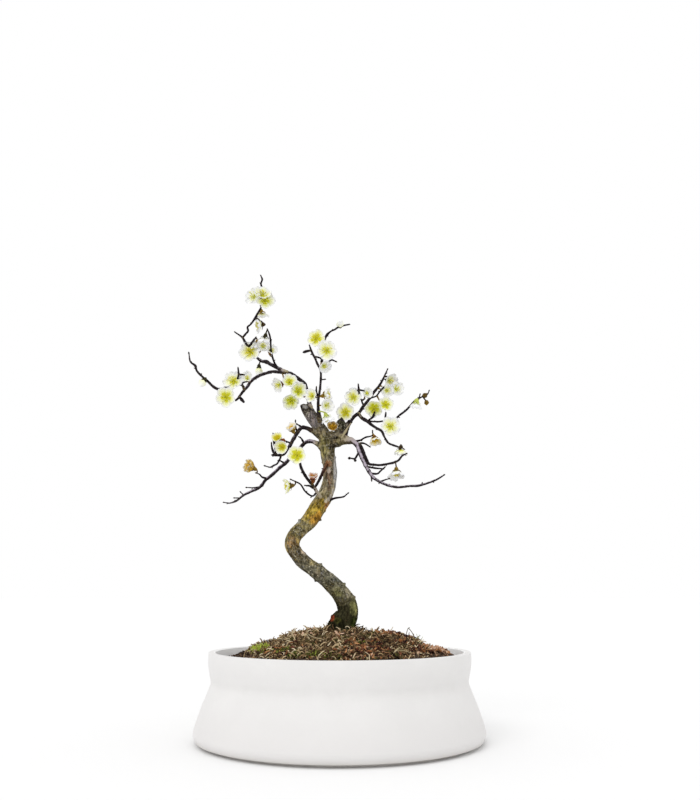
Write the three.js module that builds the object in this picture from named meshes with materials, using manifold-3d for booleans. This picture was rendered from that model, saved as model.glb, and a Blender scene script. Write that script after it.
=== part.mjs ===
// A cherry blossom bonsai in a round ceramic pot.
// Millimetres, +Z up. The origin is the middle of the pot's foot ring, on the surface it stands on;
// -Y is the tree's front.
import * as THREE from 'three';
import { mergeVertices } from 'three/addons/utils/BufferGeometryUtils.js';
import Module from 'manifold-3d';

const wasm = await Module();
wasm.setup();

// ---------------------------------------------------------------- driving dimensions

const GAP = 0.35; // air left between two pieces that touch

const POT = {
  segments: 36,
  rimRadius: 131.5,
  rimHeight: 87,
  waistRadius: 128.3,
  waistHeight: 57.5,
  baseRadius: 145,
  baseHeight: 9.5,
  lipHeight: 3, // underside of the flared edge, above the surface
  footOuter: 135,
  footInner: 128,
  wall: 7,
  floorTop: 13,
  floorUnder: 5,
  drainRadius: 11,
};

const MESH = { side: 34, thickness: 0.8, holes: 2, hole: 11 };

const MOUND = {
  radii: [26, 54, 82, 104], // rings of the soil's surface, middle to edge
  heights: [104, 98, 90, 85],
  edgeHeight: 80, // where the soil meets the pot's wall
  mossRings: 3, // the moss ends at this ring
  mossGap: 0.8,
  mossThickness: 4.2,
  mossEdge: 2.2,
  lump: 1.3,
};

const TRUNK_HOLE = { x: 2, y: 0, radius: 17, depth: 24.5, sides: 20 };

// ---------------------------------------------------------------- the tree's routes

// Each route is a list of [x, y, z, radius] from root to tip.
const TRUNK = [
  [2, 0, 84, 11], [2, 0, 98, 15], [2, 0, 110, 15], [4.5, 0, 117, 12.8], [8, 0, 125, 10.9],
  [7, -1, 133, 10.1], [3.2, -3, 141, 9.4], [-3.4, -5, 148.8, 8.9], [-11.8, -8, 157.3, 8.1],
  [-21.8, -10, 165, 7.8], [-33.9, -12, 174, 7.2], [-43.6, -14, 183.4, 6.8], [-48.4, -14, 193, 7.2],
  [-46.4, -13, 202, 7.6], [-39.8, -10, 209.2, 7.6], [-30.8, -6, 219, 8.1], [-23.8, -3, 231, 8.4],
  [-16.8, 0, 243, 8.1], [-11.7, 3, 259, 7.2], [-10.9, 5, 276, 7.2], [-13.5, 6, 289, 7.3],
  [-14, 6, 302, 8], [-19, 5, 313, 7], [-24.5, 3, 321, 6.2], [-30.5, 1, 329, 5.7], [-35.3, -1, 336, 5.3],
  [-38.3, -2, 342.5, 5],
];

const LIMBS = {
  right_main: [
    [-12, 5, 306.5, 6.2], [-4.5, 3, 304.5, 6], [0.5, 1, 305.5, 5.4], [7.5, -1, 304, 4.3],
    [13.5, -4, 302, 2.9], [18, -8, 296.5, 2.4], [20, -12, 289.5, 2.2], [23, -17, 281.5, 2.1],
    [29, -25, 268, 1.9], [33.5, -30, 260.5, 1.6], [37.5, -33, 257, 1.4], [48, -40, 251, 1.3],
    [57.5, -45, 248.5, 1.2], [69, -50, 249, 1.1], [76.5, -52, 249, 1.3], [83.5, -54, 250.5, 1],
    [94, -58, 254, 0.9], [98.5, -60, 256.5, 0.8], [101, -62, 258, 0.5],
  ],
  stub: [[0, 4, 306, 4.6], [0, 3, 318, 4.3], [1, 2, 325, 3.7]],
  right_back: [
    [-0.5, 6, 314, 3], [5, 10, 321, 2.4], [10.5, 14, 328, 2], [15.5, 17, 334, 1.9], [20, 19, 338, 1.8],
    [24.5, 22, 345.5, 1.7], [28.5, 25, 351, 1.6], [33, 28, 358, 1.6], [37.5, 31, 365, 1.5],
    [42, 34, 371, 1.4], [46, 37, 378.5, 1.2], [49.5, 40, 386.5, 0.9], [52, 42, 392.5, 0.6],
  ],
  right_low: [
    [19, 18, 337, 1.9], [23, 16, 331.5, 1.9], [28.5, 13, 327.5, 1.8], [32.5, 11, 323.5, 1.6],
    [38, 8, 319, 1.4], [43.5, 5, 315, 1.4], [46.5, 2, 308, 1.1], [50.5, -1, 301, 1.1],
    [55, -3, 298.5, 1.1], [63, -6, 295, 0.9],
  ],
  right_second: [
    [13.5, -4, 301.5, 2.2], [21, -4, 297.5, 1.8], [24.5, -6, 289.5, 1.6], [27.5, -8, 282, 1.5],
    [30, -9, 277.5, 1.4], [35, -10, 276.5, 1.2], [42, -11, 276, 1.2], [49.5, -13, 277, 1.2],
    [55.5, -15, 278, 1.2], [60, -17, 280, 1.1], [63.5, -20, 284, 1], [67.5, -21, 286, 0.7],
  ],
  upper_left: [
    [-29, 3, 332, 2.8], [-34, 8, 349, 2.2], [-36, 11, 360, 2.1], [-39, 13, 369, 2], [-44, 13, 373, 2],
    [-52, 11, 378, 2.2], [-59, 10, 380, 2.3],
  ],
  upper_left_back: [
    [-57.5, 10, 380, 2.3], [-65.5, 13, 384.5, 2.1], [-75.5, 17, 391, 1.9], [-81.5, 20, 395, 2.2],
    [-86, 22, 396, 1.7], [-92, 25, 401, 1.3], [-100, 29, 409, 1.2], [-104, 31, 417, 1.3],
    [-109, 33, 426, 1.1], [-118, 36, 433.5, 0.7],
  ],
  forward_left: [
    [-57, 10, 380, 2], [-65, 5, 379, 1.7], [-72, -1, 378, 1.6], [-77, -7, 375, 1.6],
    [-84, -15, 370, 1.6], [-91, -25, 362, 1.6], [-95, -32, 353, 1.5], [-98, -36, 348, 1.4],
    [-102, -39, 341, 1.2],
  ],
  far_left: [
    [-97, -35, 349, 1.3], [-99, -43, 353, 1.3], [-106, -53, 349, 1.4], [-112, -61, 345, 1.4],
    [-118, -67, 342, 1.4], [-122, -72, 343, 1.3], [-127, -79, 347, 1.2], [-131, -83, 350, 1.1],
    [-136, -88, 355, 1], [-137, -90, 359, 1.2], [-141, -93, 362, 0.8], [-142, -97, 369, 0.5],
  ],
  front_left: [
    [-21.5, 3, 309.5, 3.2], [-29.5, -4, 313.5, 2.4], [-35, -8, 315.5, 2.1], [-39.5, -11, 315.5, 2],
    [-42.5, -13, 312.5, 2], [-45, -15, 308, 2], [-48.5, -18, 301, 1.9], [-51, -21, 295, 1.8],
    [-54, -25, 289.5, 1.5], [-57, -29, 284, 1.4], [-62.5, -33, 282.5, 1.3], [-67.5, -37, 282, 1.1],
  ],
  low_left: [
    [-18, 7, 297, 3], [-24, 10, 302, 2.4], [-29, 13, 305, 2.2], [-34, 16, 306, 2.1], [-38, 19, 305, 2],
    [-45, 24, 299, 2], [-55, 30, 290, 2], [-60, 33, 285, 1.9], [-66, 36, 281, 1.9], [-77, 42, 272, 1.8],
    [-82, 45, 269, 1.8], [-89, 49, 261, 1.6], [-101, 54, 256, 1.4], [-108, 57, 253, 1.3],
    [-117, 62, 247, 1.1], [-125, 65, 245, 0.8], [-131, 67, 246, 0.5],
  ],
  central: [
    [-21, 0, 319, 3], [-22, -4, 327, 2.5], [-23, -6, 335, 1.8], [-23, -7, 346, 1.4],
    [-22, -7, 353, 1.3], [-21, -6, 362, 1.2], [-21, -4, 379, 1.2], [-24, -3, 385, 1.3],
    [-26, -2, 390, 1.1], [-31, 0, 401, 1.2], [-33, 1, 407, 0.7],
  ],
  trunk_front: [
    [-16, -3, 238, 2.2], [-21, -12, 244, 1.7], [-28, -20, 254, 1.6], [-34, -26, 261, 1.5],
    [-39, -32, 270, 1.4], [-40, -34, 274, 1.3], [-42, -36, 280, 1.2],
  ],
};

const TWIGS = {
  leader: [
    [-109, 32, 426, 1], [-105.5, 30, 429.5, 1.2], [-102.5, 28, 432.5, 1.1], [-103, 26, 436, 1.1],
    [-99, 23, 438.5, 0.9], [-94.5, 19, 443, 1.3], [-91, 16, 448, 1.2], [-87.5, 15, 454, 0.9],
    [-86.5, 16, 460, 0.8], [-85.5, 18, 469, 0.8], [-86.5, 18, 478, 1], [-88, 18, 483, 1],
    [-86.5, 17, 487.5, 1], [-88, 17, 491.5, 0.6],
  ],
  leader_side: [[-104, 31, 416, 0.9], [-98, 28, 420, 0.8], [-94, 26, 424, 0.6]],
  upper: [
    [-68, 14, 386, 1.2], [-71, 10, 390.5, 1.1], [-73, 5, 396, 1], [-74, 0, 402, 0.9],
    [-74, -5, 407.5, 0.9], [-74.5, -6, 413.5, 1], [-76, -6, 419, 0.9], [-77.5, -6, 422.5, 0.6],
  ],
  far_left_spur: [
    [-101.5, -49, 351, 0.9], [-101, -60, 353, 0.8], [-98.5, -69, 356.5, 1], [-99, -70, 362, 0.8],
  ],
  central_stub: [[-32, 0, 401.5, 1.1], [-35.5, -1, 400.5, 1.4], [-39, -2, 399, 1.4]],
  central_hook: [
    [-27.5, -1, 394.5, 1], [-23.5, -3, 393, 1], [-20.5, -5, 391, 0.9], [-20, -6, 387, 0.5],
  ],
  central_right: [
    [-21, -4, 380, 1.1], [-19, -1, 392, 1.1], [-20, 3, 403, 1.1], [-17.5, 5, 411.5, 1],
    [-16.5, 7, 417.5, 1.3], [-14, 9, 422.5, 1.4], [-10.5, 10, 426, 0.9], [-6, 11, 428.5, 0.9],
    [-3, 12, 431, 1.1], [3, 13, 433.5, 1], [9, 14, 435, 0.8],
  ],
  central_spur: [[-20.5, -4, 378, 0.9], [-15, -1, 384, 0.9], [-10, 1, 391.5, 1.1], [-5, 2, 390, 0.6]],
  right_back_side: [
    [33.5, 27, 356.5, 1], [38.5, 20, 356.5, 0.8], [42, 13, 359.5, 1], [46, 10, 363.5, 1],
  ],
  right_spur: [[25, 22, 346, 1], [23, 19, 351.5, 1], [25.5, 17, 352.5, 0.7]],
  right_low_side: [
    [29.5, 13, 327.5, 1], [36, 9, 326, 0.9], [42, 4, 325, 0.9], [46.5, 0, 325.5, 1],
    [47.5, 0, 329.5, 1.1], [48, 1, 333.5, 0.9],
  ],
  right_low_spur: [[29.5, 13, 328, 0.9], [34.5, 8, 331, 1.3], [36, 6, 335, 0.9]],
  far_right: [
    [43, 5, 316, 1.2], [51, 8, 320, 1.2], [62, 14, 333, 1.1], [70, 19, 340, 1.1], [76, 23, 347, 1],
    [81, 26, 353, 1], [85, 28, 355, 0.9], [87, 31, 361, 0.6],
  ],
  far_right_tip: [[84, 28, 355, 0.9], [91, 29, 359, 0.9], [95, 30, 361, 0.8], [97, 31, 365, 0.5]],
  right_high: [
    [13, -3, 302, 1.3], [21, -1, 304, 1], [26, 0, 307, 0.9], [34, 2, 310, 0.7], [34, 2, 314, 0.5],
  ],
  right_thorn: [[20, -4, 300.5, 1], [25, -4, 300, 0.9], [30.5, -3, 297, 0.7]],
  right_fork_a: [[27.5, -23, 272.5, 1.1], [35.5, -26, 270.5, 1], [43.5, -28, 269.5, 0.7]],
  right_fork_b: [[31, -27, 265, 1.1], [38, -28, 264.5, 1], [41, -29, 267, 0.9], [45, -30, 270.5, 0.7]],
  right_fork_c: [[40, -35, 255, 1], [45, -36, 257, 0.8], [49, -37, 258, 0.5]],
  right_bud_spur: [
    [19.5, -12, 290, 1.1], [17.5, -14, 285.5, 1.1], [15, -15, 282, 1], [11.5, -17, 282, 0.8],
  ],
  front_left_stub: [[-39.5, -11, 315, 1.4], [-42, -12, 317, 1], [-44.5, -13, 318.5, 0.6]],
  front_left_spur: [[-50, -21, 297, 1.1], [-54, -24, 298, 0.9], [-57, -26, 299, 0.7]],
  front_left_a: [
    [-64, -34, 282.5, 1.1], [-66.5, -36, 285, 1.3], [-68, -38, 289, 1.1], [-68.5, -39, 293.5, 0.7],
  ],
  front_left_b: [
    [-63.5, -34, 282.5, 0.9], [-65.5, -33, 290, 0.9], [-66.5, -33, 297, 1.4], [-67.5, -33, 304, 1],
  ],
  front_left_c: [
    [-59, -31, 283, 1.1], [-61, -34, 277, 1], [-63, -37, 273, 0.9], [-66, -39, 271, 0.9],
    [-69, -41, 269, 0.8], [-74, -43, 270, 0.5],
  ],
  low_left_link: [[-39, 19, 304, 1.2], [-42, 15, 309, 0.9], [-44, 12, 310, 0.6]],
  low_left_stub: [[-61, 33, 285, 1.3], [-65, 30, 287, 0.8]],
  low_left_a: [[-81, 44, 270, 1.2], [-86, 42, 271, 1], [-89, 40, 274, 0.8], [-92, 39, 275, 0.5]],
  low_left_b: [[-90, 50, 261, 1], [-96, 47, 260, 0.7], [-103, 45, 260, 0.5]],
  low_left_c: [[-108, 57, 253, 0.9], [-111, 56, 256, 0.5]],
  low_left_d: [[-112, 59, 250, 0.8], [-118, 58, 250, 0.5]],
  trunk_front_dark: [
    [-14, -1, 278.5, 1.7], [-17.5, -6, 270.5, 1.6], [-21, -12, 261, 1.5], [-25.5, -17, 252, 1.2],
  ],
  trunk_front_thorn: [[-27.5, -18, 251, 1.1], [-31, -21, 253, 1], [-35, -24, 253, 0.6]],
  trunk_front_low: [
    [-24, -15, 247, 1], [-28, -17, 243, 0.9], [-35, -21, 247, 0.9], [-40, -26, 254, 0.8],
    [-49, -31, 258, 0.6],
  ],
  trunk_right: [[-12, -2, 240, 1.4], [-5, -8, 242, 1.1], [4, -13, 243, 0.8], [8, -15, 246, 0.5]],
  leader_fork: [
    [-108.5, 32, 425, 1.2], [-105, 22, 418, 1.2], [-101.5, 15, 412, 1.2], [-99, 12.5, 410.5, 1.3],
    [-96, 13, 414.5, 1.2], [-94, 15, 418.5, 1.1], [-92.5, 18, 421, 0.9],
  ],
  far_left_bar: [[-98.5, -69, 356.5, 1], [-93.5, -71, 355.5, 0.7]],
  far_left_hook: [[-99, -43, 353, 1], [-97, -45, 354.5, 0.9], [-94, -46, 355, 0.6]],
  forward_left_end: [[-101.5, -39, 341.5, 1.3], [-99, -41, 338, 1.6], [-96.5, -43, 335, 1.3]],
  forward_left_tip: [[-102, -39, 340.5, 1.1], [-104.5, -42, 337, 1.1]],
  central_thorn: [[-23, -7, 348.5, 1.1], [-25, -10, 353.5, 1.1], [-25, -11, 358, 0.7]],
  central_nub: [[-21, -5, 368, 0.8], [-16.5, -7, 368, 0.5]],
  right_spur_tip: [[23, 19, 351, 0.8], [20.5, 10, 354, 0.8], [19.5, 2, 359, 1.3], [19, 1, 364, 0.8]],
  right_spur_bar: [[19.5, 2, 359, 1.2], [24.5, 0, 357.5, 0.8]],
  right_back_thorn: [[48.5, 39, 383.5, 1.1], [53.5, 36, 382.5, 0.8]],
  right_low_thorn: [[20.5, 18, 336.5, 1.4], [16, 12, 333, 1]],
  right_main_thorn: [[32, -28, 262, 1.2], [32, -30, 257.5, 0.6]],
  front_left_thorn: [[-44, -16, 309.5, 1.1], [-46, -18, 314.5, 1.1], [-46, -19, 320.5, 0.7]],
};

// Each blossom is [x, y, z, diameter, yaw, pitch, openness]. Yaw turns it from the front towards
// +X, pitch tips it up, both in degrees. Openness is 1 for a flat blossom.
const BLOOMS = [
  [-86, 13, 468, 20, 10, 30, 0.8], [-83, 14, 462, 22, 12, 5, 1], [-95, 17, 467, 20, -25, 5, 0.9],
  [-88, 27, 452.5, 17, 170, -60, 0.8], [-88, 24, 438, 20, -75, -10, 0.9],
  [-81, 4, 417, 15, -150, -65, 0.6], [-91.5, 22, 415.5, 17, 180, -75, 0.7],
  [-99, 21, 406, 24, -8, 0, 1], [-85, 18, 411, 15, 15, 10, 0.7], [-74.5, 4, 401.5, 13, 25, 25, 0.5],
  [-104, -62, 351, 21, -12, 12, 1], [-110, -68, 334, 20, -12, -17, 1],
  [-94, -34, 361, 13, -15, 15, 0.5], [-64, 0, 364, 17, -50, -20, 0.7], [-54, -1, 366, 17, 5, 15, 0.7],
  [-45, 0, 357, 19, 20, 0, 0.9], [-52, 0, 347, 19, -8, -40, 0.8], [-29, -10, 349, 15, -30, 0, 0.7],
  [-26, 2, 415, 20, -10, 5, 1], [-15, -6, 399, 23, 10, 0, 1], [-18, -10, 382, 14, 35, -30, 0.5],
  [-16, -10, 350, 17, 75, 10, 0.7], [-15, -15, 338, 15, 30, -15, 0.7],
  [-14, -14, 326, 15, 120, -65, 0.7], [14, 9, 352, 21, -15, 5, 1], [6, 6, 335, 21, -15, 0, 1],
  [28, 12, 357, 12, 15, 5, 0.5], [36, 9, 341, 19, -10, -25, 0.8], [48, 12, 344.5, 17, 10, 15, 0.8],
  [53, 31, 377, 18, 40, -25, 0.7], [50, 20, 363, 15, 10, -15, 0.7], [60, 24, 365, 17, 20, 0, 0.7],
  [52, -3, 318, 22, 10, 0, 1], [82, 17, 348, 13, -150, -70, 0.5], [36, -4, 305, 13, 15, -60, 0.5],
  [63, -10, 292.5, 15, 180, -80, 0.6], [57.5, -20, 268, 18, 0, -80, 0.6], [-8, -8, 316, 12, 0, 15, 0.6],
  [-49, -21, 311.5, 12, -30, 45, 0.5], [-62.5, -37, 298.5, 11, -10, 20, 0.5],
  [-57.5, -36, 290.5, 14, -15, -15, 0.5], [-42, -45, 280, 19, -5, 5, 0.9],
  [-95, 32, 279.5, 15, -60, 20, 0.35], [-50, -36, 251, 16, -75, -10, 0.7],
  [-27, -28, 259.5, 10, 0, 65, 0.5],
];

// White closed buds, and brown buds that are part of the wood: [x, y, z, diameter, yaw, pitch].
const WHITE_BUDS = [
  [-89, 21, 388, 9, 0, -80], [-130, -83, 346, 8, -30, -50], [-0.5, 8, 432, 9, 0, 10],
];
const BROWN_BUDS = [
  [90, 30, 357.5, 6, 55, 38], [93.5, 26, 353.5, 5.5, 0, -80], [-56, -27, 297.5, 5, -50, 20],
  [11, -17, 282, 3.2, -60, 0], [15.5, -14.5, 281.5, 3.2, 0, -60],
];

const PETAL = {
  count: 5,
  // Half of a petal's outline: [share of its length, degrees off its middle line], root to tip.
  outline: [[0.48, 34], [0.8, 34], [1, 18]],
  notch: 0.93,
  middle: 0.58,
  thickness: 1.1,
  cup: 0.16, // how far the side edges rise above the middle
  flatTilt: 16,
  closedTilt: 62,
};
const HEART = { radius: 2.4, height: 1.3 }; // where the petals' roots join
const STAMEN = { count: 4, radius: 0.55, length: 0.34, lean: 26, ring: 1.1 };
const CALYX = { radius: 2.2, length: 3.4, stalkRadius: 0.75, sides: 4 };

const TRUNK_TUBE = { sides: 10, step: 7.5 };
const LIMB_TUBE = { sides: 5, step: 12 };
const TWIG_TUBE = { sides: 4, step: 16 };

// ---------------------------------------------------------------- materials

const finish = (color, roughness) => new THREE.MeshStandardMaterial({ color, roughness, metalness: 0 });
const CERAMIC = finish(0xebe8e5, 0.55);
const PLASTIC = finish(0x2b2e2c, 0.6);
const EARTH = finish(0x3a2b20, 0.95);
const MOSS = finish(0x77743c, 0.95);
const BARK = finish(0x5d4d40, 0.85);
const PETAL_WHITE = finish(0xf5f2f4, 0.6);

// ---------------------------------------------------------------- solids and small helpers

function seeded(seed) {
  let state = seed;
  return () => {
    state = (Math.imul(state, 1664525) + 1013904223) >>> 0;
    return state / 4294967296;
  };
}

const between = (random, low, high) => low + (high - low) * random();
const radians = THREE.MathUtils.degToRad;

function solidFrom(geometry) {
  geometry.deleteAttribute('normal');
  geometry.deleteAttribute('uv');
  const merged = mergeVertices(geometry, 1e-4);
  return new wasm.Manifold(new wasm.Mesh({
    numProp: 3,
    vertProperties: new Float32Array(merged.attributes.position.array),
    triVerts: new Uint32Array(merged.index.array),
  }));
}

function geometryFrom(solid) {
  const { vertProperties, triVerts } = solid.getMesh();
  const geometry = new THREE.BufferGeometry();
  geometry.setAttribute('position', new THREE.BufferAttribute(vertProperties, 3));
  geometry.setIndex(new THREE.BufferAttribute(triVerts, 1));
  geometry.computeVertexNormals();
  return geometry;
}

function indexed(vertices, faces) {
  const geometry = new THREE.BufferGeometry();
  const numbers = vertices.flatMap((v) => [v.x, v.y, v.z]);
  geometry.setAttribute('position', new THREE.Float32BufferAttribute(numbers, 3));
  geometry.setIndex(faces.flat());
  return geometry;
}

// Joins many solids pairwise, which keeps every join small.
function joined(solids) {
  let rest = solids;
  while (rest.length > 1) {
    const next = [];
    for (let i = 0; i < rest.length; i += 2) {
      next.push(i + 1 < rest.length ? rest[i].add(rest[i + 1]) : rest[i]);
    }
    rest = next;
  }
  return rest[0];
}

// Drops the scraps that a cut leaves loose, and fills the pockets that a join seals.
function largestPiece(solid) {
  return solid.decompose().reduce((best, piece) => (piece.volume() > best.volume() ? piece : best));
}

// The direction that a yaw and a pitch in degrees point in.
function heading(yaw, pitch) {
  const [a, b] = [radians(yaw), radians(pitch)];
  return new THREE.Vector3(Math.sin(a) * Math.cos(b), -Math.cos(a) * Math.cos(b), Math.sin(b));
}

// A matrix that stands a shape's own +Z along a direction at a place, turned by spin.
function standing(place, direction, spin = 0) {
  const turn = new THREE.Quaternion().setFromUnitVectors(new THREE.Vector3(0, 0, 1), direction);
  turn.multiply(new THREE.Quaternion().setFromAxisAngle(new THREE.Vector3(0, 0, 1), spin));
  return new THREE.Matrix4().compose(place, turn, new THREE.Vector3(1, 1, 1));
}

// ---------------------------------------------------------------- pot, mesh, soil and moss

function lathed(profile) {
  const points = profile.map(([r, z]) => new THREE.Vector2(r, z));
  return new THREE.LatheGeometry(points, POT.segments).rotateX(Math.PI / 2);
}

// The pot's inside, from the middle of the floor up to the rim, as [radius, height].
function innerProfile(gap) {
  const { rimRadius, rimHeight, waistRadius, waistHeight, baseRadius, wall, floorTop } = POT;
  return [
    [baseRadius - 2.2 * wall - gap, floorTop + gap],
    [waistRadius - wall - gap, waistHeight - 5],
    [waistRadius - wall - gap, waistHeight + 4],
    [rimRadius - wall - gap, rimHeight - 0.5],
  ];
}

function potSolid() {
  const p = POT;
  const outside = [
    [p.rimRadius, p.rimHeight],
    [p.rimRadius + 0.3, 0.5 * (p.rimHeight + p.waistHeight) + 4],
    [p.waistRadius + 1.5, p.waistHeight + 7],
    [p.waistRadius, p.waistHeight],
    [p.waistRadius + 4.3, p.waistHeight - 11],
    [p.waistRadius + 12, p.waistHeight - 30],
    [p.baseRadius, p.baseHeight],
    [p.baseRadius - 2.5, p.lipHeight],
    [p.footOuter, p.lipHeight],
    [p.footOuter, 0],
    [p.footInner, 0],
    [p.footInner, p.floorUnder],
    [p.drainRadius, p.floorUnder],
    [p.drainRadius, p.floorTop],
  ];
  const inside = [...innerProfile(0), [p.rimRadius - p.wall, p.rimHeight]];
  return solidFrom(lathed([...outside, ...inside, outside[0]].reverse()));
}

function drainageMeshSolid() {
  const { side, thickness, holes, hole } = MESH;
  let plate = solidFrom(new THREE.BoxGeometry(side, side, thickness));
  for (let i = 0; i < holes; i += 1) {
    for (let j = 0; j < holes; j += 1) {
      const [x, y] = [i, j].map((n) => ((n + 0.5) / holes - 0.5) * side);
      const bore = new THREE.BoxGeometry(hole, hole, 4 * thickness).translate(x, y, 0);
      plate = plate.subtract(solidFrom(bore));
    }
  }
  return plate.translate([0, 0, POT.floorTop + GAP + thickness / 2]);
}

// A point of the soil's lumpy surface on one of the mound's rings, lifted where moss lies on it.
function moundPoint(ring, segment, lift = 0) {
  const angle = (segment / POT.segments) * 2 * Math.PI;
  const wave = Math.sin(3 * angle + ring) + 0.7 * Math.sin(7 * angle + 2 * ring)
    + 0.5 * Math.cos(11 * angle - ring);
  const radius = MOUND.radii[ring] * (1 + 0.022 * wave);
  const height = MOUND.heights[ring] + 0.4 * MOUND.lump * Math.sin(5 * angle + 3 * ring) + lift;
  return new THREE.Vector3(radius * Math.cos(angle), radius * Math.sin(angle), height);
}

// A closed skin over rings of points, each a full turn, with a middle point at both ends.
function ringedSolid(rings, first, last) {
  const count = rings[0].length;
  const vertices = [...rings.flat(), first, last];
  const [firstIndex, lastIndex] = [vertices.length - 2, vertices.length - 1];
  const faces = [];
  for (let k = 0; k < count; k += 1) {
    const next = (k + 1) % count;
    faces.push([firstIndex, k, next]);
    for (let r = 0; r + 1 < rings.length; r += 1) {
      const [a, b] = [r * count + k, r * count + next];
      faces.push([a, a + count, b], [b, a + count, b + count]);
    }
    const base = (rings.length - 1) * count;
    faces.push([lastIndex, base + next, base + k]);
  }
  return solidFrom(indexed(vertices, faces));
}

const wholeTurn = (point) => Array.from({ length: POT.segments }, (_, k) => point(k));

function trunkHole() {
  const { x, y, radius, depth, sides } = TRUNK_HOLE;
  const bore = new THREE.CylinderGeometry(radius, radius, 2 * depth, sides).rotateX(Math.PI / 2);
  return solidFrom(bore.translate(x, y, MOUND.heights[0]));
}

function soilSolid() {
  const level = (r, z) => wholeTurn((k) => {
    const angle = (k / POT.segments) * 2 * Math.PI;
    return new THREE.Vector3(r * Math.cos(angle), r * Math.sin(angle), z);
  });
  const top = MOUND.radii.map((_, ring) => wholeTurn((k) => moundPoint(ring, k)));
  const wall = innerProfile(GAP).slice(0, -1).reverse().map(([r, z]) => level(r, z));
  const edge = level(POT.rimRadius - POT.wall - GAP - 0.6, MOUND.edgeHeight);
  const peak = new THREE.Vector3(0, 0, MOUND.heights[0] + 0.5);
  const under = new THREE.Vector3(0, 0, POT.floorTop + GAP);
  const recess = new THREE.BoxGeometry(MESH.side + 1, MESH.side + 1, 4 * MESH.thickness);
  return ringedSolid([...top, edge, ...wall], peak, under)
    .subtract(trunkHole())
    .subtract(solidFrom(recess.translate(0, 0, POT.floorTop)));
}

function mossSolid() {
  const under = [];
  const over = [];
  for (let ring = 0; ring < MOUND.mossRings; ring += 1) {
    const edge = ring === MOUND.mossRings - 1;
    under.push(wholeTurn((k) => moundPoint(ring, k, MOUND.mossGap)));
    over.push(wholeTurn((k) => {
      const lump = MOUND.lump * Math.sin(1.9 * k + 2.3 * ring) * Math.cos(0.7 * k * (ring + 1));
      return moundPoint(ring, k, MOUND.mossGap + (edge ? MOUND.mossEdge : MOUND.mossThickness + lump));
    }));
  }
  const peak = new THREE.Vector3(0, 0, MOUND.heights[0] + MOUND.mossGap + MOUND.mossThickness);
  const middle = new THREE.Vector3(0, 0, MOUND.heights[0] + 0.5 + MOUND.mossGap);
  return ringedSolid([...over, ...under.reverse()], peak, middle).subtract(trunkHole());
}

// ---------------------------------------------------------------- wood

// A closed tube with a ring of corners round each [x, y, z, radius] station. bump(share along,
// angle) pushes the corners in and out.
function prism(stations, sides, grow = 0, bump = () => 1) {
  const centres = stations.map(([x, y, z]) => new THREE.Vector3(x, y, z));
  const last = stations.length - 1;
  const side = new THREE.Vector3(0, 1, 0);
  const start = centres[1].clone().sub(centres[0]).normalize();
  if (Math.abs(start.y) > 0.8) side.set(1, 0, 0);
  const vertices = [];
  centres.forEach((centre, i) => {
    const tangent = centres[Math.min(i + 1, last)].clone().sub(centres[Math.max(i - 1, 0)]).normalize();
    side.addScaledVector(tangent, -side.dot(tangent)).normalize();
    const up = new THREE.Vector3().crossVectors(tangent, side);
    for (let k = 0; k < sides; k += 1) {
      const angle = (k / sides) * 2 * Math.PI;
      const radius = stations[i][3] * bump(i / last, angle) + grow;
      vertices.push(centre.clone()
        .addScaledVector(side, radius * Math.cos(angle))
        .addScaledVector(up, radius * Math.sin(angle)));
    }
  });
  const faces = [];
  for (let k = 0; k < sides; k += 1) {
    const next = (k + 1) % sides;
    for (let i = 0; i < last; i += 1) {
      const [a, b] = [i * sides + k, i * sides + next];
      faces.push([a, b, a + sides], [b, b + sides, a + sides]);
    }
  }
  for (let k = 1; k + 1 < sides; k += 1) {
    faces.push([0, k + 1, k], [last * sides, last * sides + k, last * sides + k + 1]);
  }
  return solidFrom(indexed(vertices, faces));
}

// A tapered tube along a smooth curve through a route.
function tube(route, { sides, step }, grow = 0, bump = () => 1) {
  const curve = new THREE.CatmullRomCurve3(route.map(([x, y, z]) => new THREE.Vector3(x, y, z)));
  curve.curveType = 'centripetal';
  const rings = Math.max(2, Math.round(curve.getLength() / step));
  const stations = Array.from({ length: rings + 1 }, (_, i) => {
    const place = (i / rings) * (route.length - 1);
    const k = Math.min(Math.floor(place), route.length - 2);
    return [...curve.getPoint(i / rings), THREE.MathUtils.lerp(route[k][3], route[k + 1][3], place - k)];
  });
  return prism(stations, sides, grow, bump);
}

// The trunk's fluting and knots.
const gnarl = (t, angle) => {
  const flutes = 0.07 * Math.sin(3 * angle + 9 * t) + 0.05 * Math.sin(5 * angle - 14 * t);
  return 1 + (t < 0.06 ? 0 : flutes + 0.05 * Math.sin(34 * t) * Math.cos(angle + 8 * t));
};

const ALL_ROUTES = [TRUNK, ...Object.values(LIMBS), ...Object.values(TWIGS)];

// The centre line point of the wood that lies nearest to a place.
function nearestWood(place) {
  let best = null;
  for (const route of ALL_ROUTES) {
    for (let i = 0; i + 1 < route.length; i += 1) {
      const line = new THREE.Line3(new THREE.Vector3(...route[i]), new THREE.Vector3(...route[i + 1]));
      const point = line.closestPointToPoint(place, true, new THREE.Vector3());
      const distance = point.distanceTo(place);
      if (!best || distance < best.distance) best = { point, distance };
    }
  }
  return best.point;
}

// A flower's brown calyx and the stalk that joins it to the nearest twig.
function calyxSolid([x, y, z, , yaw, pitch], grow) {
  const axis = heading(yaw, pitch);
  const along = (distance) => new THREE.Vector3(x, y, z).addScaledVector(axis, distance);
  const top = -HEART.height / 2 - GAP + 0.5 * grow;
  const foot = along(top - CALYX.length);
  const root = nearestWood(along(top - CALYX.length - 2));
  const route = [
    [...root, CALYX.stalkRadius], [...foot, CALYX.stalkRadius], [...along(top), CALYX.radius],
  ];
  return prism(route, CALYX.sides, grow);
}

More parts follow.
